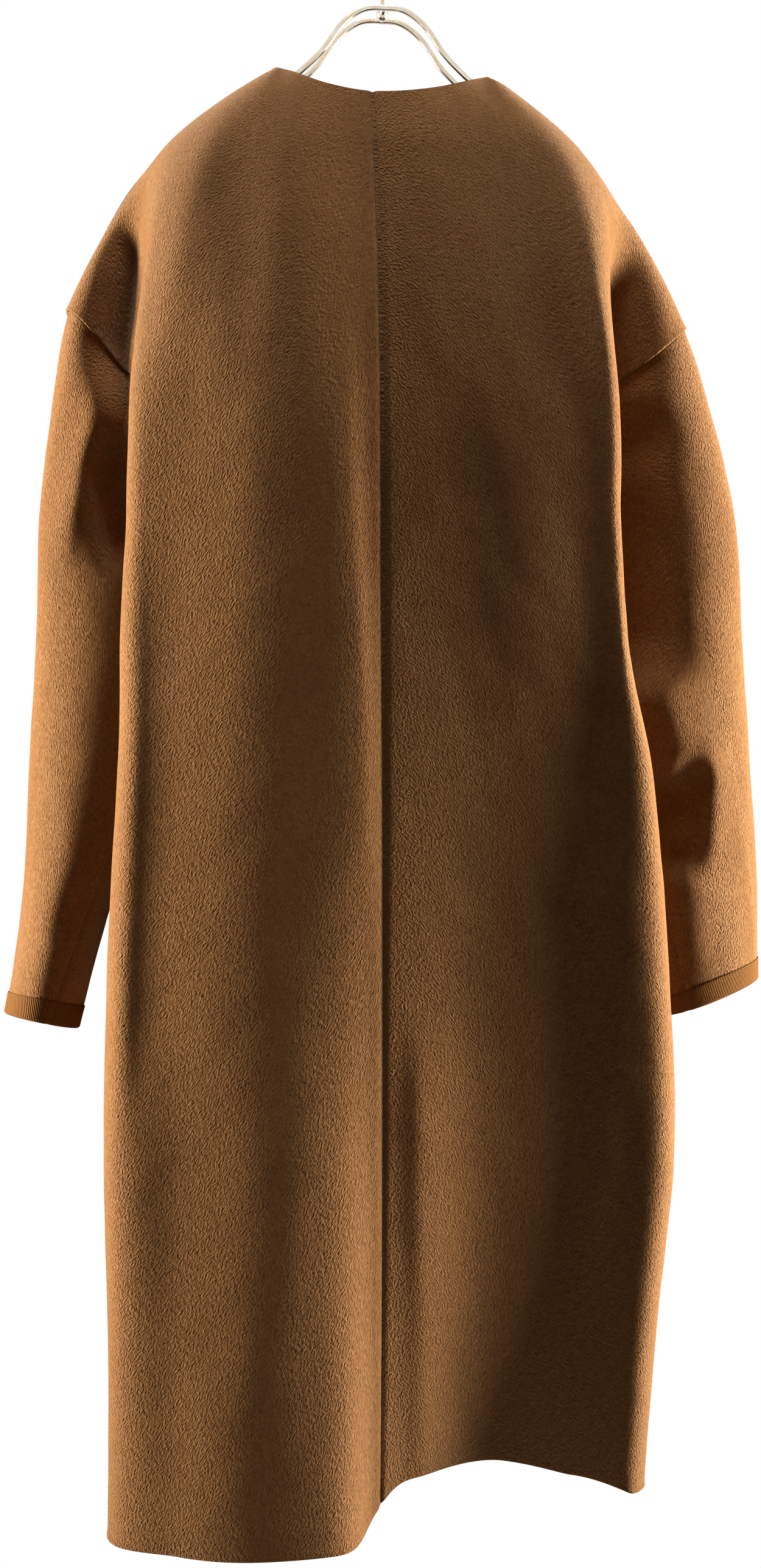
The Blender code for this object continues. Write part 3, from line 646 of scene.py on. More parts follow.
    def folded(self, curve: np.ndarray, places: np.ndarray, rising: bool) -> np.ndarray:
        """A dense section curve with the large folds worked into it.

        Args:
            curve: the section's points.
            places: the points' places in panel widths from the centre back.
            rising: whether the section runs up to the shoulders.

        Returns:
            The moved points.
        """
        flat = np.gradient(curve[:, :2], axis=0)
        flat /= np.maximum(np.linalg.norm(flat, axis=1, keepdims=True), 1e-9)
        way = np.sign(places[-1])
        outward = way * np.stack([flat[:, 1], -flat[:, 0]], axis=1)
        near = ease(np.abs(places) / self.centre_blend)[:, None]
        outward = outward * near + np.array([0.0, -1.0]) * (1 - near)
        held = ease(np.abs(np.abs(places) - 1) / self.side_blend)
        shift = np.zeros_like(flat)
        lift = np.zeros(len(curve))
        for fold in LARGE_FOLDS:
            grown = np.clip((fold.start - curve[:, 2]) / (fold.start - self.hem_z), 0.0, 1.0)
            away = places - fold.place_top - (fold.place_hem - fold.place_top) * grown
            left = np.exp(-np.abs(away / fold.width_left) ** fold.flat_left)
            right = np.exp(-np.abs(away / fold.width_right) ** fold.flat_right)
            bell = np.where(away < 0, left, right) * grown ** fold.growth * held
            shift += bell[:, None] * fold.reach * outward
            lift += bell * fold.hem_lift
        if rising:
            nearness = 1 - np.abs(np.abs(places) - 1)
            shift *= 1 - ease((nearness - self.top_fade_from) / self.top_fade)[:, None]
        bent = curve.copy()
        bent[:, :2] += shift
        bent[:, 2] += lift
        return bent

    def body_grids(self, side: Side) -> tuple[np.ndarray, np.ndarray]:
        """Middle surfaces of the back and the front of one half, rows from the hem up."""
        edge = self.seam * self.curve_steps
        across = self.neck_columns + self.shoulder_columns
        back, front = [], []
        shares = packed_fractions(self.lower_rows, True, False, self.row_close)
        for height in self.hem_z + shares * (self.underarm_z - self.hem_z):
            curve = self.curve_through(self.level_stations(height, side), True)
            lengths = arc_lengths(curve)
            beyond = (lengths - lengths[edge]) / (lengths[-1] - lengths[edge])
            places = np.where(np.arange(len(curve)) <= edge, lengths / lengths[edge], 1 + beyond)
            curve = self.folded(curve, side.value * places, False)
            back.append(self.columns_between(curve[:edge + 1], (0, self.crest_station, self.seam),
                                             (across, self.pocket_columns)))
            front.append(self.columns_between(curve[edge:],
                                              (0, self.front_crest_station, self.seam),
                                              (self.pocket_columns, across)))
        for tau in self.taus[1:]:
            back.append(self.rising_row(side, tau, Facing.BACK))
            front.append(self.rising_row(side, tau, Facing.FRONT))
        neck = int(np.argmin(np.abs(back[-1][:, 0] - side.value * BACK_TOP[self.neck_station].x)))
        shoulder = back[-1][neck:][::-1]
        front[-1][:len(shoulder)] = shoulder
        return np.array(back), np.array(front)

    def rising_row(self, side: Side, tau: float, facing: Facing) -> np.ndarray:
        """Columns of a sloping row. Near the top it turns a corner at the neck point.

        Args:
            side: the half of the coat.
            tau: share of the way up.
            facing: the back or the front.

        Returns:
            One point for each column.
        """
        stations = self.rising_stations(side, tau, facing)
        last = len(stations) - 1
        is_front = facing is Facing.FRONT
        if is_front:
            corners = (0, self.front_crest_station, self.front_neck_station, last)
            counts = (self.pocket_columns, self.shoulder_columns, self.neck_columns)
            plain = ((corners[0], corners[1], last), (counts[0], counts[1] + counts[2]))
            neck = self.front_neck_station
        else:
            corners = (0, self.neck_station, self.crest_station, last)
            counts = (self.neck_columns, self.shoulder_columns, self.pocket_columns)
            plain = ((corners[0], corners[2], last), (counts[0] + counts[1], counts[2]))
            neck = self.neck_station
        curve = self.curve_through(stations, not is_front)
        lengths = arc_lengths(curve)
        curve = self.folded(curve, side.value * (is_front + lengths / lengths[-1]), True)
        row = self.columns_between(curve, *plain)
        halves = (self.curve_through(stations[:neck + 1], not is_front),
                  self.curve_through(stations[neck:]))
        cornered = self.columns_between(np.concatenate([halves[0], halves[1][1:]]),
                                        corners, counts)
        places = np.linspace(0, len(cornered) - 1, len(row))
        cornered = read_along(places, np.arange(len(cornered)), cornered)
        return row + ease((tau - self.corner_from) / (1 - self.corner_from)) * (cornered - row)

    def sleeve_grid(self, side: Side) -> np.ndarray:
        """Middle surface of a sleeve, rows from the armhole down, columns round from its seam."""
        high, low = self.armhole(side, 0.0), self.armhole(side, 180.0)
        rows = [np.concatenate([(high + low) / 2, (high - low) / 2,
                                (0.0, -self.armhole_half_depth, 0.0, 0.0, self.underarm_point,
                                 self.armhole_roundness)])]
        for cut in SLEEVE_SECTIONS[side]:
            lift, nod = math.radians(cut.lift), math.radians(cut.nod)
            half = cut.width / 2
            rows.append(np.array([
                side.value * (cut.outer - half), cut.centre_y, cut.height,
                half * side.value, 0.0, half * math.tan(lift),
                0.0, -cut.half_depth * math.cos(nod), -cut.half_depth * math.sin(nod),
                math.radians(cut.turn), 0.0, cut.roundness]))
        table = np.array(rows)
        knots = arc_lengths(table[:, :3])
        fractions = packed_fractions(self.sleeve_rows, True, True, self.row_close)
        read = smooth_through(knots, table, fractions * knots[-1])
        climb = np.radians(180.0 * (1 - self.taus))
        angles = np.concatenate([climb, -climb[-2::-1]])
        return np.array([self.loop(row[:3], row[3:6], row[6:9], angles - row[9], row[10], row[11])
                         for row in read])


def add_mesh(name: str, points: np.ndarray, faces: np.ndarray,
             corner_uv: np.ndarray) -> bpy.types.Object:
    """Make an object of four-cornered faces, turned outwards and smooth.

    Args:
        name: the object's name.
        points: its points.
        faces: four point numbers for each face.
        corner_uv: the UV place of each face's corners, in metres of cloth.

    Returns:
        The new object.
    """
    mesh = bpy.data.meshes.new(name)
    mesh.from_pydata(points.tolist(), [], faces.tolist())
    layer = mesh.uv_layers.new(name=CLOTH_MAP)
    layer.data.foreach_set("uv", corner_uv.astype(np.float32).ravel())
    shape = bmesh.new()
    shape.from_mesh(mesh)
    bmesh.ops.recalc_face_normals(shape, faces=shape.faces)
    shape.to_mesh(mesh)
    shape.free()
    mesh.shade_smooth()
    piece = bpy.data.objects.new(name, mesh)
    bpy.context.scene.collection.objects.link(piece)
    return piece


def tie(piece: bpy.types.Object, node: str, finish: bpy.types.Material) -> None:
    """Give a piece its finish and tie it to the solid that it stands for.

    Args:
        piece: the piece.
        node: the solid's node.
        finish: the material.
    """
    piece.data.materials.clear()
    piece.data.materials.append(finish)
    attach(piece, BODY)
    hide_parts(node)


@dataclass
class ClothPiece:
    """A cut piece of cloth: a thin wall with rounded edges on a grid of its middle surface."""

    name: str
    grid: np.ndarray
    middle: np.ndarray
    thickness: float = 0.0024
    gap: float = -0.0004
    relax_passes: int = 24
    rim_steps: int = 5
    mitre_limit: float = 0.35
    edge_reach: int = 3
    relax_share: float = 0.5
    facing_middle: float = 0.5
    facing_slope: float = 1.2
    line_steps: int = 40
    waves: int = 14
    wave_lengths: tuple[float, float] = (0.025, 0.075)
    wave_rise: float = 0.00004
    still_border: int = 8
    tuck: float = 0.0
    tuck_rows: int = 7
    draw_rows: int = 8
    seam_ends: tuple[bool, bool] = (False, False)
    seam_sink: float = 0.0013
    seam_soft: float = 0.0040
    normals: np.ndarray = field(init=False)
    folded: np.ndarray = field(init=False)
    piece: Optional[bpy.types.Object] = field(init=False, default=None)

    def __post_init__(self) -> None:
        """Soften the grid and find which way its cloth faces."""
        self.relax()
        self.normals = self.face_out()

    def relax(self) -> None:
        """Even out the surface between its borders."""
        for _ in range(self.relax_passes):
            near = (self.grid[:-2, 1:-1] + self.grid[2:, 1:-1]
                    + self.grid[1:-1, :-2] + self.grid[1:-1, 2:]) / 4
            self.grid[1:-1, 1:-1] += self.relax_share * (near - self.grid[1:-1, 1:-1])

    def face_out(self) -> np.ndarray:
        """Unit normals of the grid, pointing out of the coat."""
        normals = np.cross(np.gradient(self.grid, axis=1), np.gradient(self.grid, axis=0))
        normals /= np.maximum(np.linalg.norm(normals, axis=2, keepdims=True), 1e-12)
        if np.sum(normals * (self.grid - self.middle[:, None, :])) < 0:
            normals = -normals
        return normals

    def border(self) -> list[tuple[int, int]]:
        """Grid places of the border, in order round the piece."""
        rows, columns = self.grid.shape[:2]
        return ([(0, j) for j in range(columns - 1)]
                + [(i, columns - 1) for i in range(rows - 1)]
                + [(rows - 1, j) for j in range(columns - 1, 0, -1)]
                + [(i, 0) for i in range(rows - 1, 0, -1)])

    def crease(self, creases: Sequence[Crease]) -> None:
        """Work out how far creases move the cloth.

        A tucked edge stays where it is sewn, unless the crease runs over the pieces on both sides.

        Args:
            creases: the creases; those of other pieces are passed over.
        """
        self.folded = np.zeros_like(self.grid)
        for crease in creases:
            if self.name in crease.pieces:
                way = np.array(crease.push.value)
                facing = ease(self.facing_middle + self.facing_slope * (self.normals @ way))
                if self.tuck and len(crease.pieces) == 1:
                    facing = facing * ease(np.arange(len(self.grid)) / self.tuck_rows)[:, None]
                self.folded += (facing * self.crease_rise(crease))[:, :, None] * way

    def draw_in(self, edge: np.ndarray) -> np.ndarray:
        """Carry a shift of the border into the piece, fading over a few rows.

        Args:
            edge: a shift for each point, of which only those of the border are used.

        Returns:
            The shift of every point.
        """
        fades = []
        for count in edge.shape[:2]:
            fade = 1 - ease(np.arange(count) / self.draw_rows)
            fades.append((fade, fade[::-1]))
        total = np.zeros_like(edge)
        for i, down in zip((0, -1), fades[0]):
            total += down[:, None, None] * edge[i][None]
            for j, over in zip((0, -1), fades[1]):
                total -= (down[:, None] * over[None])[:, :, None] * edge[i, j]
        for j, over in zip((0, -1), fades[1]):
            total += over[None, :, None] * edge[:, j][:, None]
        return total

    def press(self) -> None:
        """Work its creases, unevenness, sunk seams and a tucked first edge into the cloth."""
        under = np.arange(len(self.grid)) / self.tuck_rows
        sunk = self.tuck * (1 - ease(under))[:, None]
        across = arc_lengths(self.grid, 1)
        for sewn, away in zip(self.seam_ends, (across, across[:, -1:] - across)):
            sunk = sunk + sewn * self.seam_sink * (1 - ease(away / self.seam_soft))
        out = self.normals / np.linalg.norm(self.normals, axis=2, keepdims=True)
        self.grid = self.grid + self.folded + out * (self.unevenness() - sunk)[:, :, None]

    def flat_places(self) -> np.ndarray:
        """Each point's place on the flat cloth, in metres across and along."""
        return np.stack([arc_lengths(self.grid, 1), arc_lengths(self.grid, 0)], axis=2)

    def unevenness(self) -> np.ndarray:
        """Low uneven swells of the hanging cloth, none of them at its borders."""
        dice = np.random.default_rng(sum(self.name.encode()))
        place = self.flat_places()
        swell = np.zeros(self.grid.shape[:2])
        for _ in range(self.waves):
            angle = dice.uniform(0, math.pi)
            length = dice.uniform(*self.wave_lengths)
            phase = dice.uniform(0, math.tau)
            run = place @ np.array([math.cos(angle), math.sin(angle)])
            swell += self.wave_rise * np.sin(math.tau * run / length + phase)
        row, column = (np.minimum(np.arange(n), np.arange(n)[::-1]) for n in swell.shape)
        still = ease(row / self.still_border)[:, None]
        return swell * still * ease(column / self.still_border)

    def crease_rise(self, crease: Crease) -> np.ndarray:
        """How far a crease lifts each point of the grid."""
        line = np.array(crease.points)
        lengths = arc_lengths(line)
        dense = np.linspace(0, lengths[-1], self.line_steps)
        if len(line) > 2:
            line = smooth_through(lengths, line, dense)
        else:
            line = read_along(dense, lengths, line)
        place = self.grid[:, :, [0, 2]]
        best = np.full(place.shape[:2], 1e9)
        share = np.zeros(place.shape[:2])
        offside = np.zeros(place.shape[:2])
        for k, (a, b) in enumerate(zip(line, line[1:])):
            run = b - a
            t = np.clip(((place - a) @ run) / (run @ run), 0, 1)
            gap = place - a - t[:, :, None] * run
            distance = np.linalg.norm(gap, axis=2)
            closer = distance < best
            best = np.where(closer, distance, best)
            share = np.where(closer, (k + t) / (len(line) - 1), share)
            offside = np.where(closer, gap[:, :, 0] * -run[1] + gap[:, :, 1] * run[0], offside)
        soft = np.where(offside > 0, crease.soft_right, crease.soft_left)
        taper = ease(share / crease.fade) * ease((1 - share) / crease.fade)
        return crease.rise * taper * np.exp(-(best / soft) ** 2)

    def trimmed(self) -> np.ndarray:
        """The grid with its borders drawn back for the rounded edge and half the seam gap."""
        inset = self.thickness / 2 + self.gap / 2
        grid = self.grid.copy()
        for axis in (0, 1):
            for edge, inner in ((0, self.edge_reach), (-1, -1 - self.edge_reach)):
                step = np.take(self.grid, inner, axis) - np.take(self.grid, edge, axis)
                step *= inset / np.linalg.norm(step, axis=1, keepdims=True)
                place = [slice(None)] * 2
                place[axis] = edge
                grid[tuple(place)] += step
        return grid

    def build(self) -> bpy.types.Object:
        """Make the wall with its rounded edges.

        Returns:
            The new object.
        """
        grid = self.trimmed()
        rows, columns = grid.shape[:2]
        half = self.thickness / 2
        outer = (grid + self.normals * half).reshape(-1, 3)
        inner = (grid - self.normals * half).reshape(-1, 3)
        i, j = np.array(self.border()).T
        edge, lift = grid[i, j], self.normals[i, j]
        within = grid[np.clip(i, self.edge_reach, rows - 1 - self.edge_reach),
                      np.clip(j, self.edge_reach, columns - 1 - self.edge_reach)]
        away = edge - within
        away -= lift * np.sum(away * lift, axis=1, keepdims=True)
        away /= np.maximum(np.linalg.norm(away, axis=1, keepdims=True), 1e-9)
        rim = []
        for angle in np.linspace(0, math.pi, self.rim_steps + 2)[1:-1]:
            rim.append(edge + half * (away * math.sin(angle) + lift * math.cos(angle)))
        points = np.concatenate([outer, inner] + rim)

        under = rows * columns
        place = np.arange(under).reshape(rows, columns)
        a, b, c, d = place[:-1, :-1], place[:-1, 1:], place[1:, 1:], place[1:, :-1]
        front = np.stack([a, b, c, d], axis=2).reshape(-1, 4)
        back = under + np.stack([a, d, c, b], axis=2).reshape(-1, 4)
        loop = place[i, j]
        around = len(loop)
        rings = ([loop] + [2 * under + k * around + np.arange(around)
                           for k in range(self.rim_steps)] + [under + loop])
        edges = [np.stack([np.roll(low, -1), low, high, np.roll(high, -1)], axis=1)
                 for low, high in zip(rings, rings[1:])]
        faces = np.concatenate([front, back] + edges)
        flat = self.flat_places().reshape(-1, 2)
        table = np.concatenate([flat, flat] + [flat[loop]] * self.rim_steps)
        self.piece = add_mesh(f"cloth_{self.name}", points, faces, table[faces.ravel()])
        return self.piece

    def dress(self, finish: bpy.types.Material) -> None:
        """Give the piece its finish and tie it to the solid that it stands for.

        Args:
            finish: the wool.
        """
        tie(self.piece, self.name, finish)


def meeting_points(pieces: Sequence[ClothPiece]) -> list[list[tuple[ClothPiece, int, int]]]:
    """Find the border points of pieces that meet on their seams.

    Args:
        pieces: the pieces that are sewn together.

    Returns:
        For each place on a border, the pieces' points that lie there.
    """
    places: dict[tuple, list[tuple[ClothPiece, int, int]]] = {}
    for piece in pieces:
        for i, j in piece.border():
            key = tuple(np.round(piece.grid[i, j], SEAM_DIGITS) + 0.0)
            places.setdefault(key, []).append((piece, i, j))
    return list(places.values())


def share_seams(pieces: Sequence[ClothPiece]) -> None:
    """Turn cloth that meets on a seam the same way there.

    Args:
        pieces: the pieces that are sewn together.
    """
    for meeting in meeting_points(pieces):
        mean = sum(piece.normals[i, j] for piece, i, j in meeting) / len(meeting)
        length = np.linalg.norm(mean)
        for piece, i, j in meeting:
            piece.normals[i, j] = mean / length / max(length, piece.mitre_limit)


def share_creases(pieces: Sequence[ClothPiece]) -> None:
    """Let creases move cloth that meets on a seam equally far there, so that no seam opens.

    Args:
        pieces: the pieces that are sewn together, with their creases worked out.
    """
    edges = {piece.name: np.zeros_like(piece.folded) for piece in pieces}
    for meeting in meeting_points(pieces):
        mean = sum(piece.folded[i, j] for piece, i, j in meeting) / len(meeting)
        for piece, i, j in meeting:
            edges[piece.name][i, j] = mean - piece.folded[i, j]
    for piece in pieces:
        piece.folded = piece.folded + piece.draw_in(edges[piece.name])


@dataclass
class CuffTape:
    """A ribbed tape folded over the end of a sleeve."""

    sleeve: ClothPiece
    node: str
    width: float = 0.0160
    thickness: float = 0.0009
    gap: float = 0.0001
    leg_steps: int = 6
    fold_steps: int = 10
    end_steps: int = 3
    piece: Optional[bpy.types.Object] = field(init=False, default=None)

    def profile(self) -> np.ndarray:
        """Section of the tape: its distance off the cloth and up from the sleeve's end."""
        half = self.thickness / 2
        middle = self.sleeve.thickness / 2 + self.gap + half
        top = self.width - half
        points = []
        for side, radius in ((1, middle + half), (-1, middle - half)):
            legs = np.linspace(top, 0.0, self.leg_steps, endpoint=False)
            turn = np.linspace(0, math.pi, self.fold_steps + 1)
            line = ([(radius, d) for d in legs]
                    + [(radius * math.cos(a), -radius * math.sin(a)) for a in turn]
                    + [(-radius, d) for d in legs[::-1]])
            points += line if side > 0 else line[::-1]
            cap = np.linspace(0, math.pi, self.end_steps + 2)[1:-1]
            points += [(-side * (middle + half * math.cos(a) * side), top + half * math.sin(a))
                       for a in cap]
        return np.array(points)

    def build(self) -> bpy.types.Object:
        """Make the folded tape round the sleeve's end.

        Returns:
            The new object.
        """
        grid = self.sleeve.grid[::-1, :-1]
        normals = self.sleeve.normals[::-1, :-1]
        up = arc_lengths(grid, 0)
        below = grid[0] - grid[self.sleeve.edge_reach]
        below /= np.linalg.norm(below, axis=1, keepdims=True)
        section = self.profile()
        columns = grid.shape[1]
        rings = []
        for j in range(columns):
            heights = np.maximum(section[:, 1], 0.0)
            base = read_along(heights, up[:, j], grid[:, j])
            turn = read_along(heights, up[:, j], normals[:, j])
            turn /= np.linalg.norm(turn, axis=1, keepdims=True)
            drop = np.maximum(-section[:, 1], 0.0)[:, None]
            rings.append(base + turn * section[:, :1] + below[j] * drop)
        points = np.array(rings)

        count = len(section)
        place = np.arange(columns * count).reshape(columns, count)
        after, above = np.roll(place, -1, axis=0), np.roll(place, -1, axis=1)
        faces = np.stack([place, above, np.roll(after, -1, axis=1), after], axis=2).reshape(-1, 4)
        closed = np.concatenate([grid[0], grid[0, :1]])
        around = np.broadcast_to(arc_lengths(closed)[:, None], (columns + 1, count))
        ring = np.concatenate([section, section[:1]])
        along = np.broadcast_to(arc_lengths(ring), (columns + 1, count + 1))
        uv = np.stack([np.stack([around[:-1], along[:-1, :-1]], axis=2),
                       np.stack([around[:-1], along[:-1, 1:]], axis=2),
                       np.stack([around[1:], along[1:, 1:]], axis=2),
                       np.stack([around[1:], along[1:, :-1]], axis=2)], axis=2)
        self.piece = add_mesh(f"tape_{self.node}", points.reshape(-1, 3), faces, uv.reshape(-1, 2))
        return self.piece

    def dress(self, finish: bpy.types.Material) -> None:
        """Give the tape its finish and tie it to its solid.

        Args:
            finish: the ribbed tape.
        """
        tie(self.piece, self.node, finish)


@dataclass
class Hanger:
    """The twin-wire hanger with its hook, and the boss between its wires."""

    form: CoatForm
    wire_radius: float = 0.00225
    half_spacing: float = 0.012
    below_cloth: float = 0.0100
    meets_cloth: float = 0.095
    half_width: float = 0.160
    arch: tuple[tuple[float, float], ...] = (
        (0.000, -0.0760), (0.018, -0.0785), (0.033, -0.0905),
        (0.046, -0.1090), (0.058, -0.1215), (0.074, -0.1348))
    hook_radius: float = 0.002
    hook_inner: float = 0.020
    hook_turn: tuple[float, float] = (-25.0, 232.0)
    heel: tuple[float, float] = (-0.0012, -0.050)
    stem_top: float = -0.056
    boss_radius: float = 0.0048
    boss_height: float = 0.011
    bar_radius: float = 0.0021
    gap: float = 0.0003
    route_steps: int = 90
    shoulder_stations: int = 4
    bend_steps: int = 20
    hook_stations: int = 7
    tip_shares: tuple[float, ...] = (0.35, 0.8, 1.0)
    wire_facets: int = 6
    boss_segments: int = 48
    boss_rings: int = 24
    bar_segments: int = 32
    pieces: dict[str, bpy.types.Object] = field(init=False, default_factory=dict)

    def outline(self) -> np.ndarray:
        """Half of the hanger's outline, from the middle of its arch to its end, as x and z."""
        top = self.form.top_points(BACK_TOP, Side.RIGHT)[self.form.neck_station:]
        shoulder = self.form.curve_through(top)
        reach = np.linspace(self.meets_cloth, self.half_width, self.shoulder_stations)
        below = np.interp(reach, shoulder[:, 0], shoulder[:, 2]) - self.below_cloth
        stations = np.concatenate([np.array(self.arch), np.stack([reach, below], axis=1)])
        return smooth_through(stations[:, 0], stations,
                              np.linspace(0.0, self.half_width, self.route_steps))

    def wire_route(self) -> np.ndarray:
        """The closed line of the two wires and the bends that join them."""
        half = self.outline()
        slope = (half[-1] - half[-2]) / np.linalg.norm(half[-1] - half[-2])
        full = np.concatenate([half[:0:-1] * (-1, 1), half])
        near = np.stack([full[:, 0], np.full(len(full), -self.half_spacing), full[:, 1]], axis=1)
        angles = np.radians(np.linspace(-90, 90, self.bend_steps + 1)[1:-1])
        out = self.half_spacing * np.cos(angles)
        bend = np.stack([half[-1, 0] + out * slope[0], self.half_spacing * np.sin(angles),
                         half[-1, 1] + out * slope[1]], axis=1)
        return np.concatenate([near, bend, near[::-1] * (1, -1, 1), bend * (-1, -1, 1)])

    def hook_route(self) -> np.ndarray:
        """The line of the hook, from its tip down to the boss."""
        crown = self.hook_inner + self.hook_radius
        sweep = np.radians(np.linspace(*self.hook_turn, self.hook_stations))
        arc = [(crown * math.cos(a), crown * math.sin(a) - self.hook_inner) for a in sweep]
        foot = self.arch[0][1] + self.boss_height / 2 + self.gap
        stem = [self.heel, (0.0, self.stem_top), (0.0, foot)]
        line = np.array([(x, 0.0, z) for x, z in arc + stem])
        knots = arc_lengths(line)
        return smooth_through(knots, line, np.linspace(0, knots[-1], self.route_steps))

    def add_wire(self, name: str, route: np.ndarray, radius: float, closed: bool) -> None:
        """Draw a round wire along a line.

        Args:
            name: the node that it stands for.
            route: the line's points.
            radius: the wire's radius.
            closed: whether the line runs back to its start.
        """
        bpy.ops.object.select_all(action="DESELECT")
        bpy.ops.curve.primitive_bezier_curve_add()
        wire = bpy.context.object
        wire.data.splines.clear()
        line = wire.data.splines.new("POLY")
        line.points.add(len(route) - 1)
        for point, place in zip(line.points, route):
            point.co = (*place, 1.0)
        if not closed:
            for point, share in zip(line.points, self.tip_shares):
                point.radius = share
        line.use_cyclic_u = closed
        wire.data.bevel_depth = radius
        wire.data.bevel_resolution = self.wire_facets
        wire.data.use_fill_caps = not closed
        bpy.ops.object.convert(target="MESH")
        self.keep(name)

    def add_boss(self) -> None:
        """Turn the boss and set its cross bar through it."""
        place = (0.0, 0.0, self.arch[0][1])
        bpy.ops.object.select_all(action="DESELECT")
        bpy.ops.mesh.primitive_uv_sphere_add(segments=self.boss_segments, location=place,
                                             ring_count=self.boss_rings, radius=self.boss_radius)
        bpy.ops.transform.resize(value=(1.0, 1.0, self.boss_height / 2 / self.boss_radius))
        boss = bpy.context.object
        length = 2 * (self.half_spacing - self.wire_radius - self.gap)
        bpy.ops.mesh.primitive_cylinder_add(vertices=self.bar_segments, radius=self.bar_radius,
                                            depth=length, location=place,
                                            rotation=(math.pi / 2, 0.0, 0.0))
        bar = bpy.context.object
        bpy.ops.object.select_all(action="DESELECT")
        boss.select_set(True)
        bpy.context.view_layer.objects.active = boss
        union = boss.modifiers.new("cross bar", "BOOLEAN")
        union.operation = "UNION"
        union.solver = "EXACT"
        union.object = bar
        bpy.ops.object.modifier_apply(modifier=union.name)
        bpy.data.objects.remove(bar, do_unlink=True)
        self.keep("hanger_boss")

    def keep(self, node: str) -> None:
        """Finish the active object's shape at the origin and note which node it stands for."""
        bpy.ops.object.transform_apply(location=True, rotation=True, scale=True)
        bpy.ops.object.shade_smooth()
        piece = bpy.context.object
        piece.name = f"fine_{node}"
        self.pieces[node] = piece

    def build(self) -> None:
        """Make the wires, the hook and the boss."""
        self.add_wire("hanger_wire", self.wire_route(), self.wire_radius, True)
        self.add_wire("hanger_hook", self.hook_route(), self.hook_radius, False)
        self.add_boss()

    def dress(self, finish: bpy.types.Material) -> None:
        """Plate the hanger and tie each part to its solid.

        Args:
            finish: the plating.
        """
        for node, piece in self.pieces.items():
            tie(piece, node, finish)


class Nodes:
    """Small steps for wiring a shader's nodes."""

    def __init__(self, tree: bpy.types.NodeTree) -> None:
        """Work in one node tree."""
        self.tree = tree

    def add(self, kind: str, **settings) -> bpy.types.Node:
        """Add a node.

        Args:
            kind: the node's type.
            settings: plain settings of the node.

        Returns:
            The node.
        """
        node = self.tree.nodes.new(kind)
        for name, value in settings.items():
            setattr(node, name, value)
        return node

    def join(self, source: bpy.types.NodeSocket, target: bpy.types.NodeSocket) -> None:
        """Link two sockets."""
        self.tree.links.new(source, target)

    def noise(self, place: bpy.types.NodeSocket, size: Size, turn: float,
              detail: float) -> bpy.types.NodeSocket:
        """Noise whose features have a size in metres and lie at an angle.

        Args:
            place: the coordinates to read, in metres.
            size: size of the features.
            turn: angle in degrees.
            detail: number of finer layers.

        Returns:
            A value round one half.
        """
        lay = self.add("ShaderNodeMapping", vector_type="TEXTURE")
        lay.inputs["Rotation"].default_value = (0.0, 0.0, math.radians(turn))
        lay.inputs["Scale"].default_value = size
        grain = self.add("ShaderNodeTexNoise")
        grain.inputs["Scale"].default_value = 1.0
        grain.inputs["Detail"].default_value = detail
        self.join(place, lay.inputs["Vector"])
        self.join(lay.outputs["Vector"], grain.inputs["Vector"])
        return grain.outputs["Fac"]

    def weigh(self, parts: Sequence[tuple[bpy.types.NodeSocket, float]]) -> bpy.types.NodeSocket:
        """Sum of values, each times its weight."""
        total = None
        for value, weight in parts:
            step = self.add("ShaderNodeMath", operation="MULTIPLY_ADD")
            self.join(value, step.inputs[0])
            step.inputs[1].default_value = weight
            step.inputs[2].default_value = 0.0
            if total is not None:
                self.join(total, step.inputs[2])
            total = step.outputs["Value"]
        return total

    def spread(self, value: bpy.types.NodeSocket, before: Range = (0.0, 1.0),
               after: Range = (0.0, 1.0)) -> bpy.types.NodeSocket:
        """A value moved from one range to another and held in it."""
        step = self.add("ShaderNodeMapRange")
        self.join(value, step.inputs["Value"])
        for word, ends in (("From", before), ("To", after)):
            for end, number in zip(("Min", "Max"), ends):
                step.inputs[f"{word} {end}"].default_value = number
        return step.outputs["Result"]

    def seen(self, glossy: float) -> bpy.types.NodeSocket:
        """1 for what the camera sees directly, and a share for what polished metal shows of it."""
        path = self.add("ShaderNodeLightPath")
        return self.weigh(((path.outputs["Is Camera Ray"], 1.0),
                           (path.outputs["Is Glossy Ray"], glossy)))

    def blend(self, share: bpy.types.NodeSocket, low: Colour,
              high: Colour) -> bpy.types.NodeSocket:
        """A colour between two."""
        step = self.add("ShaderNodeMix", data_type="RGBA")
        self.join(share, step.inputs["Factor"])
        step.inputs["A"].default_value = low
        step.inputs["B"].default_value = high
        return step.outputs["Result"]


@dataclass(frozen=True)
class Effect:
    """A shader node group that several finishes may share."""

    name: str
    outputs: tuple[str, ...]

    def start(self) -> tuple[bpy.types.NodeTree, Nodes, bpy.types.Node]:
        """Make the empty group.

        Returns:
            The group, a helper for its nodes and its output node.
        """
        group = bpy.data.node_groups.new(self.name, "ShaderNodeTree")
        for word in self.outputs:
            group.interface.new_socket(word, in_out="OUTPUT", socket_type="NodeSocketFloat")
        nodes = Nodes(group)
        return group, nodes, nodes.add("NodeGroupOutput")


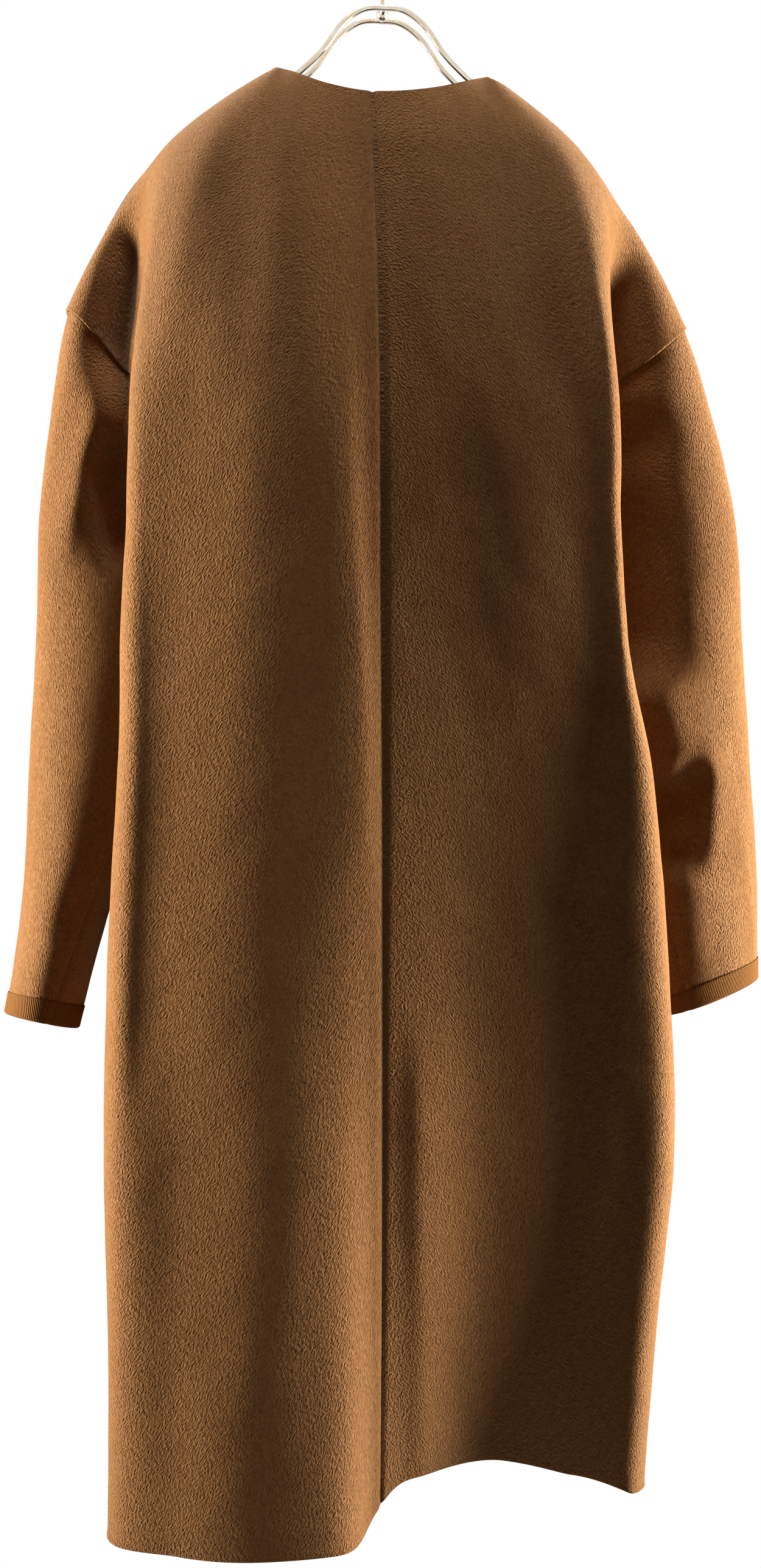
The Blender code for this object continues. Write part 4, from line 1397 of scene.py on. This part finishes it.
@dataclass(frozen=True)
class NapEffect(Effect):
    """Brushed fibres that lie one way, the tufts that they gather in and wide worn patches."""

    name: str = "nap"
    outputs: tuple[str, ...] = ("Height", "Tone", "Patch")
    lie: float = 35.0
    fibre: Size = (0.0010, 0.0026, 1.0)
    grain: Size = (0.0017, 0.0026, 1.0)
    tuft: Size = (0.0050, 0.0075, 1.0)
    patch: Size = (0.060, 0.110, 1.0)
    height_shares: tuple[float, ...] = (0.50, 0.40, 0.10)
    tone_shares: tuple[float, ...] = (0.35, 0.40, 0.25)
    tone_range: Range = (0.37, 0.63)
    patch_range: Range = (0.35, 0.65)

    def build(self) -> bpy.types.NodeTree:
        """Wire the group."""
        group, nodes, out = self.start()
        place = nodes.add("ShaderNodeUVMap", uv_map=CLOTH_MAP).outputs["UV"]
        layers = (nodes.noise(place, self.fibre, self.lie, 1.0),
                  nodes.noise(place, self.grain, self.lie, 2.0),
                  nodes.noise(place, self.tuft, -self.lie, 2.0))
        patch = nodes.noise(place, self.patch, 0.0, 2.0)
        height = nodes.weigh(tuple(zip(layers, self.height_shares)))
        tone = nodes.weigh(tuple(zip(layers, self.tone_shares)))
        nodes.join(height, out.inputs["Height"])
        nodes.join(nodes.spread(tone, self.tone_range), out.inputs["Tone"])
        nodes.join(nodes.spread(patch, self.patch_range), out.inputs["Patch"])
        return group


@dataclass(frozen=True)
class RibEffect(Effect):
    """Slanting ribs of a woven tape."""

    name: str = "ribs"
    outputs: tuple[str, ...] = ("Height",)
    slant: float = 25.0
    scale: float = 217.0
    distortion: float = 0.6

    def build(self) -> bpy.types.NodeTree:
        """Wire the group."""
        group, nodes, out = self.start()
        place = nodes.add("ShaderNodeUVMap", uv_map=CLOTH_MAP).outputs["UV"]
        lay = nodes.add("ShaderNodeMapping", vector_type="TEXTURE")
        lay.inputs["Rotation"].default_value = (0.0, 0.0, math.radians(self.slant))
        rib = nodes.add("ShaderNodeTexWave")
        rib.inputs["Scale"].default_value = self.scale
        rib.inputs["Distortion"].default_value = self.distortion
        rib.inputs["Detail"].default_value = 1.0
        nodes.join(place, lay.inputs["Vector"])
        nodes.join(lay.outputs["Vector"], rib.inputs["Vector"])
        nodes.join(rib.outputs["Fac"], out.inputs["Height"])
        return group


@dataclass(frozen=True)
class SmudgeEffect(Effect):
    """Finger marks and fine rubbing on plated metal."""

    name: str = "smudges"
    outputs: tuple[str, ...] = ("Smudge", "Rub")
    smudge: Size = (0.012, 0.012, 0.012)
    rub: Size = (0.0006, 0.0006, 0.0030)
    smudge_range: Range = (0.35, 0.65)

    def build(self) -> bpy.types.NodeTree:
        """Wire the group."""
        group, nodes, out = self.start()
        place = nodes.add("ShaderNodeTexCoord").outputs["Object"]
        smudge = nodes.noise(place, self.smudge, 0.0, 3.0)
        nodes.join(nodes.spread(smudge, self.smudge_range), out.inputs["Smudge"])
        nodes.join(nodes.noise(place, self.rub, 0.0, 2.0), out.inputs["Rub"])
        return group


@dataclass(frozen=True)
class Finish:
    """A material built from one effect group."""

    name: str
    dark: Colour
    light: Colour
    effect: Effect
    bump_depth: float
    bump_strength: float
    roughness: float
    relief: str = "Height"

    def start(self) -> tuple[bpy.types.Material, Nodes, bpy.types.Node, bpy.types.Node]:
        """Make the material with its effect group and its bump wired in.

        Returns:
            The material, a helper for its nodes, its shader and its effect node.
        """
        look = bpy.data.materials.new(self.name)
        look.use_nodes = True
        nodes = Nodes(look.node_tree)
        shader = look.node_tree.nodes["Principled BSDF"]
        shader.inputs["Roughness"].default_value = self.roughness
        effect = nodes.add("ShaderNodeGroup", node_tree=self.effect.build())
        bump = nodes.add("ShaderNodeBump")
        bump.inputs["Strength"].default_value = self.bump_strength
        bump.inputs["Distance"].default_value = self.bump_depth
        nodes.join(effect.outputs[self.relief], bump.inputs["Height"])
        nodes.join(bump.outputs["Normal"], shader.inputs["Normal"])
        return look, nodes, shader, effect


@dataclass(frozen=True)
class WoolFinish(Finish):
    """Brown napped wool, darker in its worn patches."""

    name: str = "brown_wool"
    dark: Colour = (0.084, 0.0335, 0.0098, 1.0)
    light: Colour = (0.150, 0.0690, 0.0240, 1.0)
    effect: Effect = NapEffect()
    bump_depth: float = 0.0028
    bump_strength: float = 1.0
    roughness: float = 0.95
    worn: float = 0.30
    sheen: float = 0.14
    sheen_roughness: float = 0.45
    sheen_tint: Colour = (1.0, 0.82, 0.58, 1.0)

    def build(self) -> bpy.types.Material:
        """Make the material."""
        look, nodes, shader, effect = self.start()
        colour = nodes.blend(effect.outputs["Tone"], self.dark, self.light)
        wear = nodes.add("ShaderNodeMix", data_type="RGBA")
        nodes.join(nodes.spread(effect.outputs["Patch"], after=(0.0, self.worn)),
                   wear.inputs["Factor"])
        nodes.join(colour, wear.inputs["A"])
        wear.inputs["B"].default_value = self.dark
        nodes.join(wear.outputs["Result"], shader.inputs["Base Color"])
        shader.inputs["Specular IOR Level"].default_value = 0.0
        shader.inputs["Sheen Weight"].default_value = self.sheen
        shader.inputs["Sheen Roughness"].default_value = self.sheen_roughness
        shader.inputs["Sheen Tint"].default_value = self.sheen_tint
        return look


@dataclass(frozen=True)
class TapeFinish(Finish):
    """Ribbed brown tape, its colour darker in the rib grooves as painted shade."""

    name: str = "ribbed_tape"
    # dark is painted shade in the rib grooves and light is the rib tops; the colour follows the
    # ribs' height
    dark: Colour = (0.044, 0.0172, 0.0048, 1.0)
    light: Colour = (0.128, 0.0560, 0.0175, 1.0)
    effect: Effect = RibEffect()
    bump_depth: float = 0.0005
    bump_strength: float = 0.9
    roughness: float = 0.8

    def build(self) -> bpy.types.Material:
        """Make the material."""
        look, nodes, shader, effect = self.start()
        # Painted shade: the colour goes dark where the ribs are low, following the same height as
        # the bump
        nodes.join(nodes.blend(effect.outputs["Height"], self.dark, self.light),
                   shader.inputs["Base Color"])
        shader.inputs["Specular IOR Level"].default_value = 0.0
        return look


@dataclass(frozen=True)
class PlateFinish(Finish):
    """Polished pale gold plating with smudges."""

    name: str = "pale_gold"
    dark: Colour = (0.70, 0.57, 0.40, 1.0)
    light: Colour = (0.90, 0.82, 0.68, 1.0)
    effect: Effect = SmudgeEffect()
    bump_depth: float = 0.00002
    bump_strength: float = 0.5
    roughness: float = 0.15
    relief: str = "Rub"
    roughness_range: Range = (0.10, 0.30)

    def build(self) -> bpy.types.Material:
        """Make the material."""
        look, nodes, shader, effect = self.start()
        smudge = effect.outputs["Smudge"]
        nodes.join(nodes.blend(smudge, self.light, self.dark), shader.inputs["Base Color"])
        nodes.join(nodes.spread(smudge, after=self.roughness_range), shader.inputs["Roughness"])
        shader.inputs["Metallic"].default_value = 1.0
        return look


@dataclass(frozen=True)
class Lamp:
    """A square soft lamp."""

    name: str
    place: Size
    size: float
    power: float
    spread: float


@dataclass(frozen=True)
class Studio:
    """Camera, lights and floor."""

    distance: float = 1.4
    azimuth: float = -6.5
    eye_z: float = -0.670
    turn: float = 0.058
    sensor: float = 36.0
    lens: float = 41.63
    lamps: tuple[Lamp, ...] = (
        Lamp("right", (2.6, 0.18, -0.60), 1.1, 79.0, 50.0),
        Lamp("left", (-2.6, 0.18, -0.60), 1.1, 57.0, 50.0),
        Lamp("top", (0.0, -0.2, 2.2), 0.6, 32.0, 90.0))
    lit_point: Size = (0.0, 0.0, -0.62)
    ambient: Colour = (0.055, 0.046, 0.037, 1.0)
    white: Colour = (1.0, 1.0, 1.0, 1.0)
    glossy_share: float = 0.85
    floor_z: float = -1.80
    floor_size: float = 60.0
    floor_colour: Colour = (0.75, 0.75, 0.75, 1.0)
    floor_roughness: float = 0.9

    def build(self) -> None:
        """Set up the whole stage."""
        self.add_camera()
        for lamp in self.lamps:
            self.add_lamp(lamp)
        self.add_surround()
        self.add_floor()

    def add_camera(self) -> None:
        """Place the camera at the height and side that the coat is seen from."""
        angle = math.radians(self.azimuth)
        x, y = self.distance * math.sin(angle), -self.distance * math.cos(angle)
        bpy.ops.object.camera_add(
            location=(x, y, self.eye_z),
            rotation=(math.pi / 2, 0.0, math.radians(self.azimuth + self.turn)))
        camera = bpy.context.object
        camera.data.sensor_width = self.sensor
        camera.data.lens = self.lens
        camera.data.dof.use_dof = False
        bpy.context.scene.camera = camera

    def add_lamp(self, plan: Lamp) -> None:
        """Place a lamp and turn it to the coat.

        Args:
            plan: the lamp's place, size and power.
        """
        bpy.ops.object.light_add(type="AREA", location=plan.place)
        lamp = bpy.context.object
        lamp.name = f"lamp_{plan.name}"
        lamp.data.shape = "SQUARE"
        lamp.data.size = plan.size
        lamp.data.energy = plan.power
        lamp.data.spread = math.radians(plan.spread)
        aim = np.array(self.lit_point) - np.array(plan.place)
        lamp.rotation_euler = (math.acos(-aim[2] / np.linalg.norm(aim)), 0.0,
                               math.atan2(aim[1], aim[0]) - math.pi / 2)

    def add_surround(self) -> None:
        """Set a white ground to look at, which lights the coat only weakly."""
        world = bpy.data.worlds.new("studio")
        world.use_nodes = True
        bpy.context.scene.world = world
        nodes = Nodes(world.node_tree)
        colour = nodes.blend(nodes.seen(self.glossy_share), self.ambient, self.white)
        nodes.join(colour, world.node_tree.nodes["Background"].inputs["Color"])
        bpy.context.scene.view_settings.view_transform = "Standard"

    def add_floor(self) -> None:
        """Lay a plain pale floor."""
        bpy.ops.mesh.primitive_plane_add(size=self.floor_size, location=(0.0, 0.0, self.floor_z))
        floor = bpy.context.object
        floor.name = "floor"
        look = bpy.data.materials.new("pale_floor")
        look.use_nodes = True
        nodes = Nodes(look.node_tree)
        shader = look.node_tree.nodes["Principled BSDF"]
        shader.inputs["Base Color"].default_value = self.floor_colour
        shader.inputs["Roughness"].default_value = self.floor_roughness
        glow = nodes.add("ShaderNodeEmission")
        mix = nodes.add("ShaderNodeMixShader")
        nodes.join(nodes.seen(self.glossy_share), mix.inputs["Fac"])
        nodes.join(shader.outputs["BSDF"], mix.inputs[1])
        nodes.join(glow.outputs["Emission"], mix.inputs[2])
        surface = look.node_tree.nodes["Material Output"].inputs["Surface"]
        nodes.join(mix.outputs["Shader"], surface)
        floor.data.materials.append(look)


def main() -> None:
    """Build the coat and its stage, and report each piece."""
    logging.basicConfig(level=logging.INFO, format="%(name)s: %(message)s")
    bpy.ops.object.select_all(action="DESELECT")
    Studio().build()
    form = CoatForm()
    pieces = {}
    for side in Side:
        back, front = form.body_grids(side)
        for kind, grid in (("back", back), ("front", front), ("sleeve", form.sleeve_grid(side))):
            middle = grid.mean(axis=1)
            if kind != "sleeve":
                middle[:, :2] = (0.0, SIDE_Y)
            name = f"{kind}_{side.word}"
            pieces[name] = ClothPiece(name, grid, middle,
                                      tuck=form.sleeve_tuck if kind == "sleeve" else 0.0,
                                      seam_ends=(kind != "front", kind == "sleeve"))
    share_seams(list(pieces.values()))
    wool = WoolFinish().build()
    tape = TapeFinish().build()
    for piece in pieces.values():
        piece.crease(CREASES)
    share_creases(list(pieces.values()))
    for piece in pieces.values():
        piece.press()
        piece.build()
        piece.dress(wool)
        LOG.info("%s: %d faces", piece.name, len(piece.piece.data.polygons))
    for side in Side:
        binding = CuffTape(pieces[f"sleeve_{side.word}"], f"cuff_binding_{side.word}")
        binding.build()
        binding.dress(tape)
        LOG.info("%s: %d faces", binding.node, len(binding.piece.data.polygons))
    hanger = Hanger(form)
    hanger.build()
    hanger.dress(PlateFinish().build())
    LOG.info("hanger: %d parts", len(hanger.pieces))


if __name__ == "__main__":
    main()
